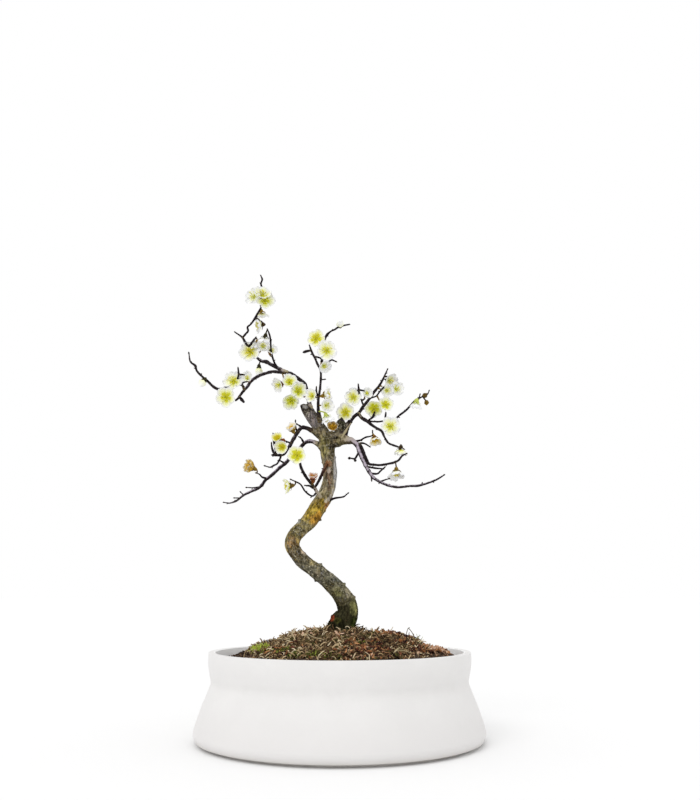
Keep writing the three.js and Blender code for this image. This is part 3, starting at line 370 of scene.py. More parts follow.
def smooth_rows(route, step):
    """Rows of x, y, z and radius every step along a smooth curve through a route's points."""
    points = [np.array(point, float) for point in route]
    points = [2 * points[0] - points[1], *points, 2 * points[-1] - points[-2]]
    rows = []
    for a, b, c, d in zip(points, points[1:], points[2:], points[3:]):
        ab, bc, cd = (max(np.linalg.norm((q - p)[:3]), 0.01) ** 0.5 for p, q in ((a, b), (b, c), (c, d)))
        leave = bc * ((b - a) / ab - (c - a) / (ab + bc) + (c - b) / bc)
        arrive = bc * ((c - b) / bc - (d - b) / (bc + cd) + (d - c) / cd)
        count = max(1, round(np.linalg.norm((c - b)[:3]) / step))
        for t in np.arange(count) / count:
            bend = (3 * (c - b) - 2 * leave - arrive) * t**2 + (2 * (b - c) + leave + arrive) * t**3
            row = b + leave * t + bend
            row[3] = b[3] + (c[3] - b[3]) * t
            rows.append(row)
    rows.append(points[-2])
    return np.array(rows)


def travelled(rows):
    """How far along a route each of its rows lies."""
    return np.concatenate([[0], np.cumsum(np.linalg.norm(np.diff(rows[:, :3], axis=0), axis=1))])


def turning_frames(path):
    """A path's tangents, with two normals that turn as little as they can along it."""
    tangents = unit(np.gradient(path, axis=0))
    side = np.cross(tangents[0], FIRST_SIDE)
    sides = []
    for tangent in tangents:
        side = unit(side - tangent * side.dot(tangent))
        sides.append(side)
    return tangents, np.array(sides), np.cross(tangents, sides)


@lru_cache(maxsize=None)
def tube_faces(count, sides):
    """Faces of a tube of so many rings, whose two end vertices come last."""
    first, last = count * sides, count * sides + 1
    faces = []
    for k in range(sides):
        n = (k + 1) % sides
        faces.append((first, n, k))
        faces += [(i + k, i + n, i + sides + n, i + sides + k) for i in range(0, (count - 1) * sides, sides)]
        faces.append((last, (count - 1) * sides + k, (count - 1) * sides + n))
    return faces


def skin(rows, sides, swell=None, tip=0.8):
    """Vertices and faces of a closed tube round rows of x, y, z and radius, with a rounded tip."""
    tangents, across, up = turning_frames(rows[:, :3])
    angles = np.arange(sides) * TURN / sides
    radius = rows[:, 3:4] * (np.ones(sides) if swell is None else swell)
    round_it = np.cos(angles)[:, None] * across[:, None] + np.sin(angles)[:, None] * up[:, None]
    rings = rows[:, None, :3] + radius[..., None] * round_it
    ends = [rows[0, :3], rows[-1, :3] + tangents[-1] * rows[-1, 3] * tip]
    return np.vstack([rings.reshape(-1, 3), ends]), tube_faces(len(rows), sides)


def egg(place, axis, length, radius, sides=8, rings=7, lobes=0.0):
    """Vertices and faces of a bud shape, whose lobes stand out as five twisted folds."""
    t = np.linspace(*EGG_ENDS, rings)[:, None]
    rows = np.hstack([place + axis * length * t, radius * np.sin(math.pi * t**EGG_BELLY)])
    angles = np.arange(sides) * TURN / sides
    return skin(rows, sides, 1 + lobes * np.cos(5 * angles + 4 * t), tip=0.4)


@lru_cache(maxsize=None)
def blade_faces(across, along):
    """Faces of a leaf whose lower side's vertices follow its upper side's."""
    lower = across * along
    faces = []
    for j in range(along - 1):
        for i in range(across - 1):
            a = j * across + i
            quad = (a, a + 1, a + 1 + across, a + across)
            faces += [quad, tuple(lower + v for v in reversed(quad))]
    edge = [*range(across), *range(2 * across - 1, lower, across)]
    edge += [*range(lower - 2, lower - across - 1, -1), *range(lower - 2 * across, 0, -across)]
    faces += [(lower + a, lower + b, b, a) for a, b in zip(edge, edge[1:] + edge[:1])]
    return faces


def blade(surface, across, along, thickness):
    """A thin closed leaf. surface(c, s) is its middle at -1 to 1 across and 0 to 1 along it."""
    c, s = np.meshgrid(np.linspace(-1, 1, across), np.linspace(0, 1, along))
    middle = surface(c, s)
    lift = unit(np.cross(np.gradient(middle, axis=1), np.gradient(middle, axis=0))) * thickness / 2
    lift = lift * (1 - BLADE_THINNING * np.abs(c) ** 3 * s)[..., None]
    vertices = np.vstack([(middle + lift).reshape(-1, 3), (middle - lift).reshape(-1, 3)])
    return vertices, blade_faces(across, along), np.tile(s.ravel(), 2), np.tile(c.ravel(), 2)


def noise_at(places, size, offset=0.0, octaves=1):
    """Smooth noise of about -1 to 1, with features of about that size."""
    shift = Vector((offset, 0.37 * offset, -offset))
    return np.array([noise.fractal(Vector(p) / size + shift, 1.0, 2.0, octaves) for p in places])


def layered_noise(places, layers):
    """The sum of [height, size, offset, octaves] layers of noise."""
    return sum(height * noise_at(places, *layer) for height, *layer in layers)


class Shape:
    """Vertices, faces and named values for each vertex, gathered for one mesh."""

    def __init__(self):
        self.vertices, self.faces, self.values = [], [], {}

    def add(self, vertices, faces, **values):
        start = len(self.vertices)
        self.vertices.extend(vertices)
        self.faces.extend([tuple([start + i for i in face]) for face in faces])
        for name, value in values.items():
            self.values.setdefault(name, []).extend(np.broadcast_to(value, len(vertices)))


def keep_values(mesh, values):
    """Stores a value for each vertex under each name."""
    for name, row in values.items():
        mesh.attributes.new(name, "FLOAT", "POINT").data.foreach_set("value", np.array(row, np.float32))


def mesh_from(name, shape):
    mesh = bpy.data.meshes.new(name)
    mesh.from_pydata((np.array(shape.vertices) * MM).tolist(), [], shape.faces)
    keep_values(mesh, shape.values)
    mesh.shade_smooth()
    return mesh


def linked(name, data):
    obj = bpy.data.objects.new(name, data)
    bpy.context.scene.collection.objects.link(obj)
    return obj


def add_piece(name, mesh, material, replaced=()):
    """Adds one finished piece of the bonsai, which may stand for some nodes of the model."""
    if isinstance(mesh, Shape):
        mesh = mesh_from(name, mesh)
    mesh.materials.clear()
    mesh.materials.append(material)
    piece = linked(name, mesh)
    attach(piece, "root")
    if replaced:
        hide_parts(*replaced)
    return piece


def fused(shape, voxel, passes):
    """One closed, smoothed skin round shapes that cross each other."""
    obj = linked("to_fuse", mesh_from("to_fuse", shape))
    remesh = obj.modifiers.new("remesh", "REMESH")
    remesh.mode, remesh.voxel_size, remesh.use_smooth_shade = "VOXEL", voxel * MM, True
    smooth = obj.modifiers.new("smooth", "SMOOTH")
    smooth.factor, smooth.iterations = 0.5, passes
    mesh = bpy.data.meshes.new_from_object(obj.evaluated_get(bpy.context.evaluated_depsgraph_get()))
    bpy.data.objects.remove(obj)
    return mesh


def read_vectors(items, key):
    numbers = np.empty(len(items) * 3, np.float32)
    items.foreach_get(key, numbers)
    return numbers.reshape(-1, 3).astype(float)


# ---------------------------------------------------------------- materials


class Paint:
    """Builds one procedural material. Each call returns a socket that feeds the next one."""

    def __init__(self, name, roughness, specular=0.25):
        self.material = bpy.data.materials.new(name)
        self.material.use_nodes = True
        self.tree = self.material.node_tree
        self.shader = self.tree.nodes["Principled BSDF"]
        self.shader.inputs["Roughness"].default_value = roughness
        self.shader.inputs["Specular IOR Level"].default_value = specular

    def put(self, socket, value):
        if isinstance(value, bpy.types.NodeSocket):
            self.tree.links.new(value, socket)
        elif socket.type == "RGBA":
            socket.default_value = (*value, 1)
        else:
            socket.default_value = value

    def node(self, kind, inputs, output=0, **settings):
        made = self.tree.nodes.new("ShaderNode" + kind)
        for key, value in settings.items():
            setattr(made, key, value)
        for key, value in inputs.items() if isinstance(inputs, dict) else enumerate(inputs):
            self.put(made.inputs[key], value)
        return made.outputs[output]

    def place(self, stretch=(1, 1, 1), shift=0.0):
        """The place on the surface in millimetres, stretched for long features."""
        point = self.node("TexCoord", {}, "Object")
        scale = tuple(share / MM for share in stretch)
        return self.node("Mapping", {"Vector": point, "Scale": scale, "Location": (shift, -shift, shift)})

    def height(self):
        """How high the surface lies, in millimetres."""
        return self.node("SeparateXYZ", [self.place()], "Z")

    def noise(self, size, detail=3.0, stretch=(1, 1, 1), shift=0.0):
        """Soft noise from 0 to 1 with features of about that size."""
        where = self.place(stretch, shift)
        inputs = {"Vector": where, "Scale": 1 / size, "Detail": detail, "Roughness": 0.6}
        return self.node("TexNoise", inputs, "Fac")

    def stray(self, size, detail, shift=0.0):
        """The same noise from -0.5 to 0.5, which makes an edge ragged."""
        return self.math("SUBTRACT", self.noise(size, detail, shift=shift), 0.5)

    def cells(self, size, shift=0.0):
        """The distance to the middle of irregular cells of about that size."""
        inputs = {"Vector": self.place(shift=shift), "Scale": 1 / size}
        return self.node("TexVoronoi", inputs, "Distance")

    def cracks(self, size, stretch, shift, bend):
        """The distance to the nearest of the bent cracks between irregular cells of about that size."""
        drift = self.node("TexNoise", {"Vector": self.place(shift=shift), "Scale": 0.6}, "Color")
        drift = self.node("VectorMath", [drift, (bend,) * 3], operation="MULTIPLY")
        where = self.node("VectorMath", [self.place(stretch, shift), drift], operation="ADD")
        inputs = {"Vector": where, "Scale": 1 / size}
        return self.node("TexVoronoi", inputs, "Distance", feature="DISTANCE_TO_EDGE")

    def value(self, name):
        """One of the values that the mesh keeps for each vertex."""
        return self.node("Attribute", {}, "Fac", attribute_name=name)

    def math(self, operation, *values):
        return self.node("Math", values, operation=operation)

    def times(self, *factors):
        """The product of all the factors."""
        return reduce(lambda product, factor: self.math("MULTIPLY", product, factor), factors)

    def plus(self, value, extra, share):
        """A value and a share of another."""
        return self.math("MULTIPLY_ADD", extra, share, value)

    def step(self, value, low, high):
        """0 at low and 1 at high, smooth between them. low may be above high."""
        inputs = {"Value": value, "From Min": low, "From Max": high}
        return self.node("MapRange", inputs, interpolation_type="SMOOTHSTEP")

    def near(self, centre, reach, ragged):
        """1 within a reach along x, y and z of a place, and 0 past that, with a ragged edge."""
        offset = self.node("VectorMath", [self.place(), centre], operation="SUBTRACT")
        scaled = self.node("VectorMath", [offset, tuple(1 / r for r in reach)], operation="MULTIPLY")
        distance = self.node("VectorMath", [scaled], "Value", operation="LENGTH")
        distance = self.plus(distance, self.stray(3.5, 4, sum(centre)), 2 * ragged)
        return self.step(distance, 1.25, 0.7)

    def ramp(self, factor, stops):
        """A colour from [share, colour] stops."""
        made = self.tree.nodes.new("ShaderNodeValToRGB")
        self.put(made.inputs[0], factor)
        elements = made.color_ramp.elements
        while len(elements) < len(stops):
            elements.new(0.5)
        for element, (share, colour) in zip(elements, stops):
            element.position, element.color = share, (*colour, 1)
        return made.outputs[0]

    def mix(self, factor, a, b, blend="MIX"):
        made = self.tree.nodes.new("ShaderNodeMix")
        made.data_type, made.blend_type = "RGBA", blend
        for index, value in ((0, factor), (6, a), (7, b)):
            self.put(made.inputs[index], value)
        return made.outputs[2]

    def over(self, colour, tone, *amounts):
        """A colour with a tone laid over it, as strongly as the product of the amounts."""
        return self.mix(self.times(*amounts), colour, tone)

    def shaded(self, colour, tone, *amounts):
        """A colour multiplied by a tone, as strongly as the product of the amounts."""
        return self.mix(self.times(*amounts), colour, tone, "MULTIPLY")

    def finish(self, colour, height=None, depth=0.1, roughness=None):
        """Sets the shader's colour, its bump of a height times a depth, and its roughness."""
        self.put(self.shader.inputs["Base Color"], colour)
        if height is not None:
            relief = self.node("Bump", {"Height": height, "Distance": depth * MM, "Strength": 1.0})
            self.put(self.shader.inputs["Normal"], relief)
        if roughness is not None:
            self.put(self.shader.inputs["Roughness"], roughness)
        return self.material


# The glaze, with painted shade on its waist and painted light on its inside wall, and the radii and heights
# of the pot between which each of its changes comes in.
GLAZE = {
    "clouded": (0.748, 0.737, 0.728), "clear": (0.774, 0.763, 0.753), "inside": (0.93, 0.93, 0.93),
    "waist": (0.7, 0.685, 0.67), "flare": (0.715, 0.698, 0.69), "foot": (0.52, 0.49, 0.45),
    "speck": (0.5, 0.46, 0.41),
}
INSIDE_RADIUS, INSIDE_HEIGHT = (126.5, 125), (60, 66)
WAIST_BOTTOM, WAIST_TOP = (50, 57), (66, 60)
FLARE_HEIGHT, FOOT_HEIGHT = (52, 16), (8, 1)


def ceramic_material():
    """Matt off-white glaze, a little clouded, with fine pits, painted shade mottled over the waist's crease
    and painted light that whitens the inside wall.
    """
    paint = Paint("glazed_ceramic", 0.5, 0.3)
    height = paint.height()
    across = paint.node("VectorMath", [paint.place(), (1, 1, 0)], operation="MULTIPLY")
    across = paint.node("VectorMath", [across], "Value", operation="LENGTH")
    colour = paint.mix(paint.step(paint.noise(38, 4), 0.35, 0.7), GLAZE["clouded"], GLAZE["clear"])
    # Painted light: the inside wall near the rim is whiter, against the shade that falls there.
    inside = paint.step(across, *INSIDE_RADIUS), paint.step(height, *INSIDE_HEIGHT)
    colour = paint.over(colour, GLAZE["inside"], *inside)
    waist = paint.step(height, *WAIST_BOTTOM), paint.step(height, *WAIST_TOP)
    # Painted shade in the waist's crease, mottled by noise.
    painted_lighting = paint.step(paint.noise(14, 5), 0.25, 0.75)
    colour = paint.over(colour, GLAZE["waist"], *waist, painted_lighting, 0.35)
    colour = paint.over(colour, GLAZE["flare"], paint.step(height, *FLARE_HEIGHT), 0.6)
    colour = paint.over(colour, GLAZE["foot"], paint.step(height, *FOOT_HEIGHT), 0.6)
    colour = paint.over(colour, GLAZE["speck"], paint.step(paint.cells(2.6, shift=3), 0.09, 0.04), 0.22)
    pits = paint.plus(paint.noise(1.6, 3), paint.noise(9, 2), 1.6)
    gloss = paint.plus(0.42, paint.noise(20, 3), 0.18)
    return paint.finish(colour, pits, 0.07, gloss)


PLASTIC, PLASTIC_EARTH = (0.024, 0.027, 0.025), (0.08, 0.06, 0.04)


def plastic_material():
    """Dark moulded plastic with a dusting of earth."""
    paint = Paint("mesh_plastic", 0.6)
    colour = paint.mix(paint.step(paint.noise(4, 4), 0.5, 0.75), PLASTIC, PLASTIC_EARTH)
    return paint.finish(colour, paint.noise(0.8), 0.03)


SOIL_TONES = [[0.2, (0.016, 0.01, 0.007)], [0.5, (0.055, 0.034, 0.022)], [0.8, (0.15, 0.1, 0.07)]]
SOIL_GRAIN = (0.2, 0.13, 0.085)


def soil_material():
    """Dark crumbly earth with brown and grey grains."""
    paint = Paint("damp_soil", 0.95, 0.1)
    colour = paint.ramp(paint.noise(2.6, 8), SOIL_TONES)
    colour = paint.over(colour, SOIL_GRAIN, paint.step(paint.cells(1.7), 0.3, 0.16), 0.4)
    return paint.finish(colour, paint.noise(1.2, 6), 0.5)


MOSS_BROWNS = [[0.38, (0.016, 0.009, 0.005)], [0.52, (0.075, 0.045, 0.02)], [0.66, (0.32, 0.22, 0.11)]]
MOSS_GREENS = [[0.38, (0.016, 0.014, 0.004)], [0.55, (0.07, 0.062, 0.014)], [0.7, (0.2, 0.18, 0.05)]]


def moss_bed_material():
    """Matted brown, tan and olive moss."""
    paint = Paint("moss_bed", 0.95, 0.1)
    fine = paint.noise(2.2, 8)
    patches = paint.step(paint.noise(16, 3, shift=7), 0.52, 0.62)
    colour = paint.mix(patches, paint.ramp(fine, MOSS_BROWNS), paint.ramp(fine, MOSS_GREENS))
    return paint.finish(colour, fine, 0.6)


SPHAGNUM_TONES = [
    [0.0, (0.025, 0.013, 0.008)], [0.25, (0.11, 0.058, 0.026)], [0.5, (0.34, 0.22, 0.11)],
    [0.75, (0.62, 0.47, 0.27)], [1.0, (0.8, 0.68, 0.46)],
]
GREEN_TONES = [[0.0, (0.035, 0.034, 0.008)], [0.45, (0.12, 0.14, 0.02)], [1.0, (0.56, 0.66, 0.1)]]
LITTER_TONES = [
    [0.0, (0.03, 0.014, 0.014)], [0.35, (0.14, 0.05, 0.032)], [0.55, (0.3, 0.12, 0.045)],
    [0.8, (0.5, 0.26, 0.12)], [1.0, (0.72, 0.5, 0.36)],
]
CRUMB_TONES = [[0.0, (0.014, 0.009, 0.006)], [0.5, (0.08, 0.042, 0.026)], [1.0, (0.4, 0.24, 0.15)]]
GRASS_TONES = [
    [0.0, (0.05, 0.035, 0.015)], [0.35, (0.45, 0.37, 0.22)], [0.6, (0.2, 0.22, 0.04)],
    [1.0, (0.45, 0.46, 0.12)],
]
BUD_TONES = [
    [0.0, (0.014, 0.009, 0.008)], [0.25, (0.04, 0.026, 0.01)], [0.45, (0.3, 0.18, 0.02)],
    [1.0, (0.2, 0.04, 0.02)],
]


def strand_material(name, tones, roughness=0.9):
    """Dry fibres and flakes, each in a tone that its own value picks, mottled along its length."""
    paint = Paint(name, roughness, 0.06)
    pick = paint.plus(paint.value("tint"), paint.stray(1.8, 3), 0.35)
    return paint.finish(paint.ramp(pick, tones), paint.noise(0.5, 2), 0.08)


# The height from which to which the trunk's tones run, and the tones by their share of it.
TRUNK_SPAN = [100, 345]
TRUNK_TONES = [
    [0.0, (0.02, 0.018, 0.008)], [0.1, (0.024, 0.023, 0.012)], [0.145, (0.05, 0.046, 0.024)],
    [0.18, (0.14, 0.13, 0.07)], [0.24, (0.13, 0.126, 0.09)], [0.3, (0.12, 0.112, 0.077)],
    [0.345, (0.09, 0.07, 0.034)], [0.38, (0.24, 0.17, 0.062)], [0.45, (0.2, 0.17, 0.075)],
    [0.52, (0.24, 0.18, 0.06)], [0.6, (0.2, 0.17, 0.09)], [0.66, (0.24, 0.2, 0.135)],
    [0.73, (0.17, 0.14, 0.1)], [0.8, (0.17, 0.15, 0.07)], [0.875, (0.14, 0.12, 0.075)],
    [0.92, (0.13, 0.115, 0.115)],
]
# Patches of the trunk's colour: [middle, reach, colour, how strong, how ragged].
TRUNK_PATCHES = [
    [(-49, -20, 197), (4.5, 9, 6), (0.34, 0.2, 0.07), 0.9, 0.5],
    [(-46, -20, 194), (3.6, 6, 3.8), (0.075, 0.042, 0.013), 0.85, 0.5],
    [(-54, -14, 199), (2.5, 8, 5), (0.05, 0.055, 0.02), 0.85, 0.4],
    [(-54, -14, 190), (2.5, 8, 4), (0.36, 0.28, 0.1), 0.8, 0.4],
    [(-45.5, -20, 186), (7, 9, 7), (0.034, 0.025, 0.01), 0.92, 0.3],
    [(-36, -12, 186), (5, 9, 3.4), (0.36, 0.3, 0.25), 0.75, 0.6],
    [(-27, -16, 176), (4, 7, 4), (0.26, 0.22, 0.11), 0.75, 0.7],
    [(-22, -16, 164), (4, 7, 4), (0.12, 0.1, 0.065), 0.7, 0.7],
    [(-14, -14, 158), (8, 9, 6), (0.085, 0.085, 0.06), 0.7, 0.6],
    [(8, -9, 146), (4, 7, 6), (0.22, 0.2, 0.145), 0.8, 0.7],
    [(-43, -17, 206), (6, 9, 6), (0.1, 0.085, 0.038), 0.85, 0.4],
    [(-37, -14, 215), (5, 9, 5), (0.25, 0.21, 0.09), 0.85, 0.4],
    [(-42, -8, 216), (4, 7, 5), (0.16, 0.175, 0.175), 0.8, 0.4],
    [(-28, -13, 226), (9, 10, 11), (0.29, 0.21, 0.03), 0.9, 0.4],
    [(-26, -12, 219), (5.5, 8, 6), (0.23, 0.115, 0.02), 0.75, 0.6],
    [(-20, -12, 235), (7.5, 9, 7), (0.27, 0.185, 0.022), 0.9, 0.4],
    [(-13, -7, 234), (3.6, 7, 5), (0.34, 0.17, 0.06), 0.85, 0.5],
    [(-20, -2, 258), (5, 9, 12), (0.26, 0.24, 0.16), 0.8, 0.4],
    [(-12, -3, 262), (3.2, 6, 13), (0.13, 0.08, 0.05), 0.9, 0.5],
    [(-12.5, -3, 279), (4, 6, 3.4), (0.16, 0.07, 0.03), 0.9, 0.5],
    [(-16, -3, 273), (1.8, 6, 7), (0.17, 0.08, 0.035), 0.85, 0.4],
    [(-7.4, -2, 299), (3.4, 8, 6.5), (0.075, 0.052, 0.024), 0.9, 0.4],
    [(-16.5, 0, 297), (5, 9, 12), (0.165, 0.15, 0.06), 0.8, 0.5],
    [(-16, -4, 256), (3.4, 8, 8), (0.28, 0.24, 0.15), 0.8, 0.5],
    [(-8.5, 0, 296), (2.6, 9, 9), (0.06, 0.05, 0.02), 0.8, 0.5],
    [(4, -2, 312), (5, 6, 4), (0.14, 0.1, 0.1), 0.8, 0.5],
    [(-22, -8, 224), (3.6, 7, 5), (0.3, 0.15, 0.02), 0.85, 0.5],
    [(0, 2, 321), (7, 8, 10), (0.016, 0.017, 0.009), 1.0, 0.2],
    [(-28, 0, 327), (9, 8, 10), (0.145, 0.13, 0.145), 0.85, 0.4],
    [(-38, -3, 338), (7, 8, 8), (0.016, 0.012, 0.01), 0.95, 0.2],
    [(-8.5, -9, 120.5), (3.2, 6, 4), (0.26, 0.05, 0.02), 0.9, 0.5],
    [(-1.5, -13, 146), (4.5, 7, 5), (0.23, 0.22, 0.1), 0.85, 0.5],
    [(1.5, -12, 136), (4.5, 7, 4.5), (0.1, 0.088, 0.045), 0.8, 0.5],
    [(14, -4, 130), (4.5, 12, 9), (0.2, 0.2, 0.08), 0.85, 0.7],
    [(14, -4, 115), (4, 12, 6), (0.035, 0.045, 0.01), 0.8, 0.6],
    [(-2, -9, 118), (4, 8, 3), (0.08, 0.08, 0.02), 0.6, 0.7],
    [(-4, -8, 159), (6, 9, 4), (0.06, 0.068, 0.06), 0.75, 0.6],
    [(-31, -8, 184), (5, 9, 3), (0.07, 0.07, 0.045), 0.7, 0.6],
]
# Bare wood, healed edges and hollows, in the same form, and the darker grain in them.
BARE_WOOD = [
    [(-14.6, -8, 239), (1.7, 6, 2.2), (0.62, 0.55, 0.42), 0.8, 0.4],
    [(-12, -7, 241), (1.7, 6, 2.2), (0.66, 0.58, 0.48), 0.8, 0.4],
    [(-9.6, -6, 244), (1.6, 6, 2.8), (0.66, 0.58, 0.5), 0.8, 0.4],
    [(-7.2, -5, 249), (1.7, 6, 4.5), (0.64, 0.58, 0.54), 0.85, 0.3],
    [(-3.6, 0, 272), (3.4, 12, 25), (0.52, 0.51, 0.5), 0.9, 0.3],
    [(-11.8, -3, 272), (2, 5, 3.4), (0.6, 0.48, 0.4), 0.85, 0.5],
    [(-3.5, -3, 309.4), (8, 7, 1.7), (0.34, 0.29, 0.2), 0.85, 0.3],
    [(4, -3, 303.5), (6, 7, 2.6), (0.3, 0.24, 0.15), 0.7, 0.6],
    # Painted shade: the knot hollow is near black.
    [(-5.8, -3, 306), (3.7, 6, 1.9), (0.012, 0.008, 0.004), 1.0, 0.25],
    [(-36.5, -7, 340), (3.4, 7, 3.6), (0.4, 0.385, 0.385), 0.9, 0.3],
]
GRAIN_SHADE = 0.72
# How much the bark's blotches and its fine mottling darken or lighten its tone.
BARK_BLOTCHES = [[0.36, (0.42, 0.4, 0.36)], [0.5, (1.0, 1.0, 1.0)], [0.64, (1.65, 1.6, 1.55)]]
BARK_CONTRAST = [[0.38, (0.33, 0.32, 0.29)], [0.5, (0.95, 0.94, 0.9)], [0.63, (1.85, 1.8, 1.7)]]
# Flecks of lichen and of bare and dark bark: [size, shift, how strong, colour]. They come in above
# the mossy foot, and are few on the ochre crust of lichen, of which this is the middle and reach.
BARK_FLECKS = [
    [2.4, 2, 0.6, (0.66, 0.62, 0.47)], [1.7, 14, 0.6, (0.4, 0.29, 0.08)], [3.6, 21, 0.5, (0.3, 0.3, 0.31)],
    [2.9, 33, 0.85, (0.03, 0.024, 0.012)],
]
ABOVE_FOOT = (128, 150)
OCHRE_CRUST = [(-23, -12, 231), (13, 14, 17)]
# The painted shade that the bark's underside and its flanks are multiplied by, and the tones of its relief:
# dark cracks and pocks, painted shade in its crevices and a painted highlight on its crests.
UNDERSIDE_SHADE, FLANK_SHADE = (0.2, 0.19, 0.15), (0.34, 0.35, 0.36)
BARK_CRACK, BARK_POCK = (0.02, 0.015, 0.008), (0.022, 0.016, 0.009)
BARK_CREVICE_SHADE, BARK_CREST_HIGHLIGHT = (0.018, 0.014, 0.008), (0.5, 0.45, 0.34)


def trunk_material():
    """Old cracked bark: dark and mossy at the foot, ochre round the bend, grey-olive above, with lichen, and
    with painted shade on its underside, its flanks and in its crevices.
    """
    paint = Paint("trunk_bark", 0.95, 0.02)
    height, relief = paint.height(), paint.value("relief")
    share = paint.node("MapRange", [paint.plus(height, paint.stray(7, 3), 22), *TRUNK_SPAN])
    colour = paint.ramp(share, TRUNK_TONES)
    for centre, reach, tone, amount, ragged in TRUNK_PATCHES:
        colour = paint.over(colour, tone, paint.near(centre, reach, ragged), amount)
    broad = paint.noise(6.5, 4, stretch=(1, 1, 0.6), shift=11)
    fine = paint.noise(2.2, 8, stretch=(1, 1, 0.42))
    for mottling, tones in ((broad, BARK_BLOTCHES), (fine, BARK_CONTRAST)):
        colour = paint.mix(1.0, colour, paint.ramp(mottling, tones), "MULTIPLY")
    for centre, reach, tone, amount, ragged in BARE_WOOD:
        darker = tuple(GRAIN_SHADE * part for part in tone)
        grained = paint.mix(paint.step(fine, 0.42, 0.56), darker, tone)
        colour = paint.over(colour, grained, paint.near(centre, reach, ragged), amount)
    stray = paint.stray(4, 4, 6)
    # Painted shade: darker underneath and on the flanks, with ragged edges.
    under_shade = paint.step(paint.plus(paint.value("under_shade"), stray, 1.2), 0.35, 0.95)
    colour = paint.shaded(colour, UNDERSIDE_SHADE, under_shade, 0.7)
    flank_shade = paint.step(paint.plus(paint.value("flank_shade"), stray, 0.9), 0.72, 1.05)
    colour = paint.shaded(colour, FLANK_SHADE, flank_shade, 0.6)
    flecked = paint.plus(1, paint.near(*OCHRE_CRUST, 0.3), -0.75)
    flecked = paint.times(paint.step(height, *ABOVE_FOOT), flecked)
    for size, shift, amount, tone in BARK_FLECKS:
        fleck = paint.step(paint.cells(size, shift=shift), 0.36, 0.2)
        clusters = paint.step(paint.noise(6, 4, shift=shift), 0.5, 0.6)
        colour = paint.over(colour, tone, fleck, flecked, clusters, amount)
    cracks = paint.step(paint.cracks(7.5, (1, 1, 0.5), 3, 2.2), 0.07, 0.01)
    cracked = paint.step(paint.noise(9, 3, shift=17), 0.42, 0.56)
    colour = paint.over(colour, BARK_CRACK, cracks, 0.5, cracked)
    colour = paint.over(colour, BARK_POCK, paint.step(paint.cells(3.1, shift=9), 0.2, 0.1), 0.6)
    # Painted shade in the relief's crevices, and a painted highlight on its crests.
    colour = paint.over(colour, BARK_CREVICE_SHADE, paint.step(relief, 0.42, 0.18), 0.7)
    colour = paint.over(colour, BARK_CREST_HIGHLIGHT, paint.step(relief, 0.62, 0.9), 0.3, flecked)
    return paint.finish(colour, fine, 0.3)


# Bark of limbs and twigs, the painted light on its lit side, and old and rusty wood in painted light and in
# painted shade.
LIMB_TONES = [[0.35, (0.007, 0.005, 0.006)], [0.52, (0.024, 0.018, 0.02)], [0.68, (0.075, 0.06, 0.064)]]
TWIG_TONES = [[0.35, (0.006, 0.004, 0.005)], [0.52, (0.016, 0.011, 0.013)], [0.7, (0.05, 0.038, 0.042)]]
LIMB_LIT, TWIG_LIT = (0.47, 0.41, 0.48), (0.12, 0.1, 0.125)
OLD_WOOD_LIT, OLD_WOOD_SHADE = (0.42, 0.36, 0.22), (0.13, 0.1, 0.055)
RUST_LIT, RUST_SHADE = (0.16, 0.075, 0.035), (0.06, 0.022, 0.01)
TWIG_PORE, TWIG_CREVICE_SHADE = (0.2, 0.17, 0.15), (0.008, 0.006, 0.006)


def twig_material(name, tones, painted_lighting):
    """Thin purple-black bark, with painted light in grey on the side that light falls on, and olive-tan by
    its root.
    """
    paint = Paint(name, 0.85, 0.03)
    fine, old, rust = paint.noise(1.5, 6), paint.value("old"), paint.value("rust")
    # Painted light on the side that faces the light. Old wood gets it nearly all round, and only its shaded
    # underside stays dark.
    side = paint.plus(paint.value("weather"), paint.stray(3.2, 4, 8), 1.6)
    side = paint.plus(side, old, 0.7)
    lit_tone = paint.mix(old, painted_lighting, paint.mix(rust, OLD_WOOD_LIT, RUST_LIT))
    shade = paint.mix(1.0, OLD_WOOD_SHADE, paint.ramp(fine, BARK_CONTRAST), "MULTIPLY")
    colour = paint.mix(old, paint.ramp(fine, tones), paint.mix(rust, shade, RUST_SHADE))
    colour = paint.over(colour, lit_tone, paint.step(side, 0.62, 0.98), 0.9)
    colour = paint.over(colour, TWIG_PORE, paint.step(paint.cells(1.9, shift=4), 0.16, 0.08), 0.3)
    # Painted shade in the hollows of the wrinkles.
    colour = paint.over(colour, TWIG_CREVICE_SHADE, paint.step(paint.value("relief"), 0.45, 0.2), 0.7)
    return paint.finish(colour, fine, 0.12)


# The petals' hearts and the blush round them, from cool to warm blossoms, and their other tones, with
# painted shade in soft clouds and along their rims.
HEART_TONES = [
    [0.0, (0.6, 0.63, 0.018)], [0.5, (0.72, 0.66, 0.018)], [0.86, (0.74, 0.44, 0.02)],
    [1.0, (0.36, 0.1, 0.025)],
]
BLUSH_TONES = [
    [0.0, (0.88, 0.91, 0.48)], [0.5, (0.91, 0.89, 0.46)], [0.86, (0.86, 0.7, 0.28)],
    [1.0, (0.6, 0.3, 0.14)],
]
PETAL_SHADE_AND_WHITE = [(0.82, 0.83, 0.87), (0.95, 0.95, 0.94)]
PETAL_VEIN, PETAL_EDGE_SHADE, PETAL_BURNT = (0.5, 0.52, 0.44), (0.58, 0.58, 0.64), (0.12, 0.05, 0.012)


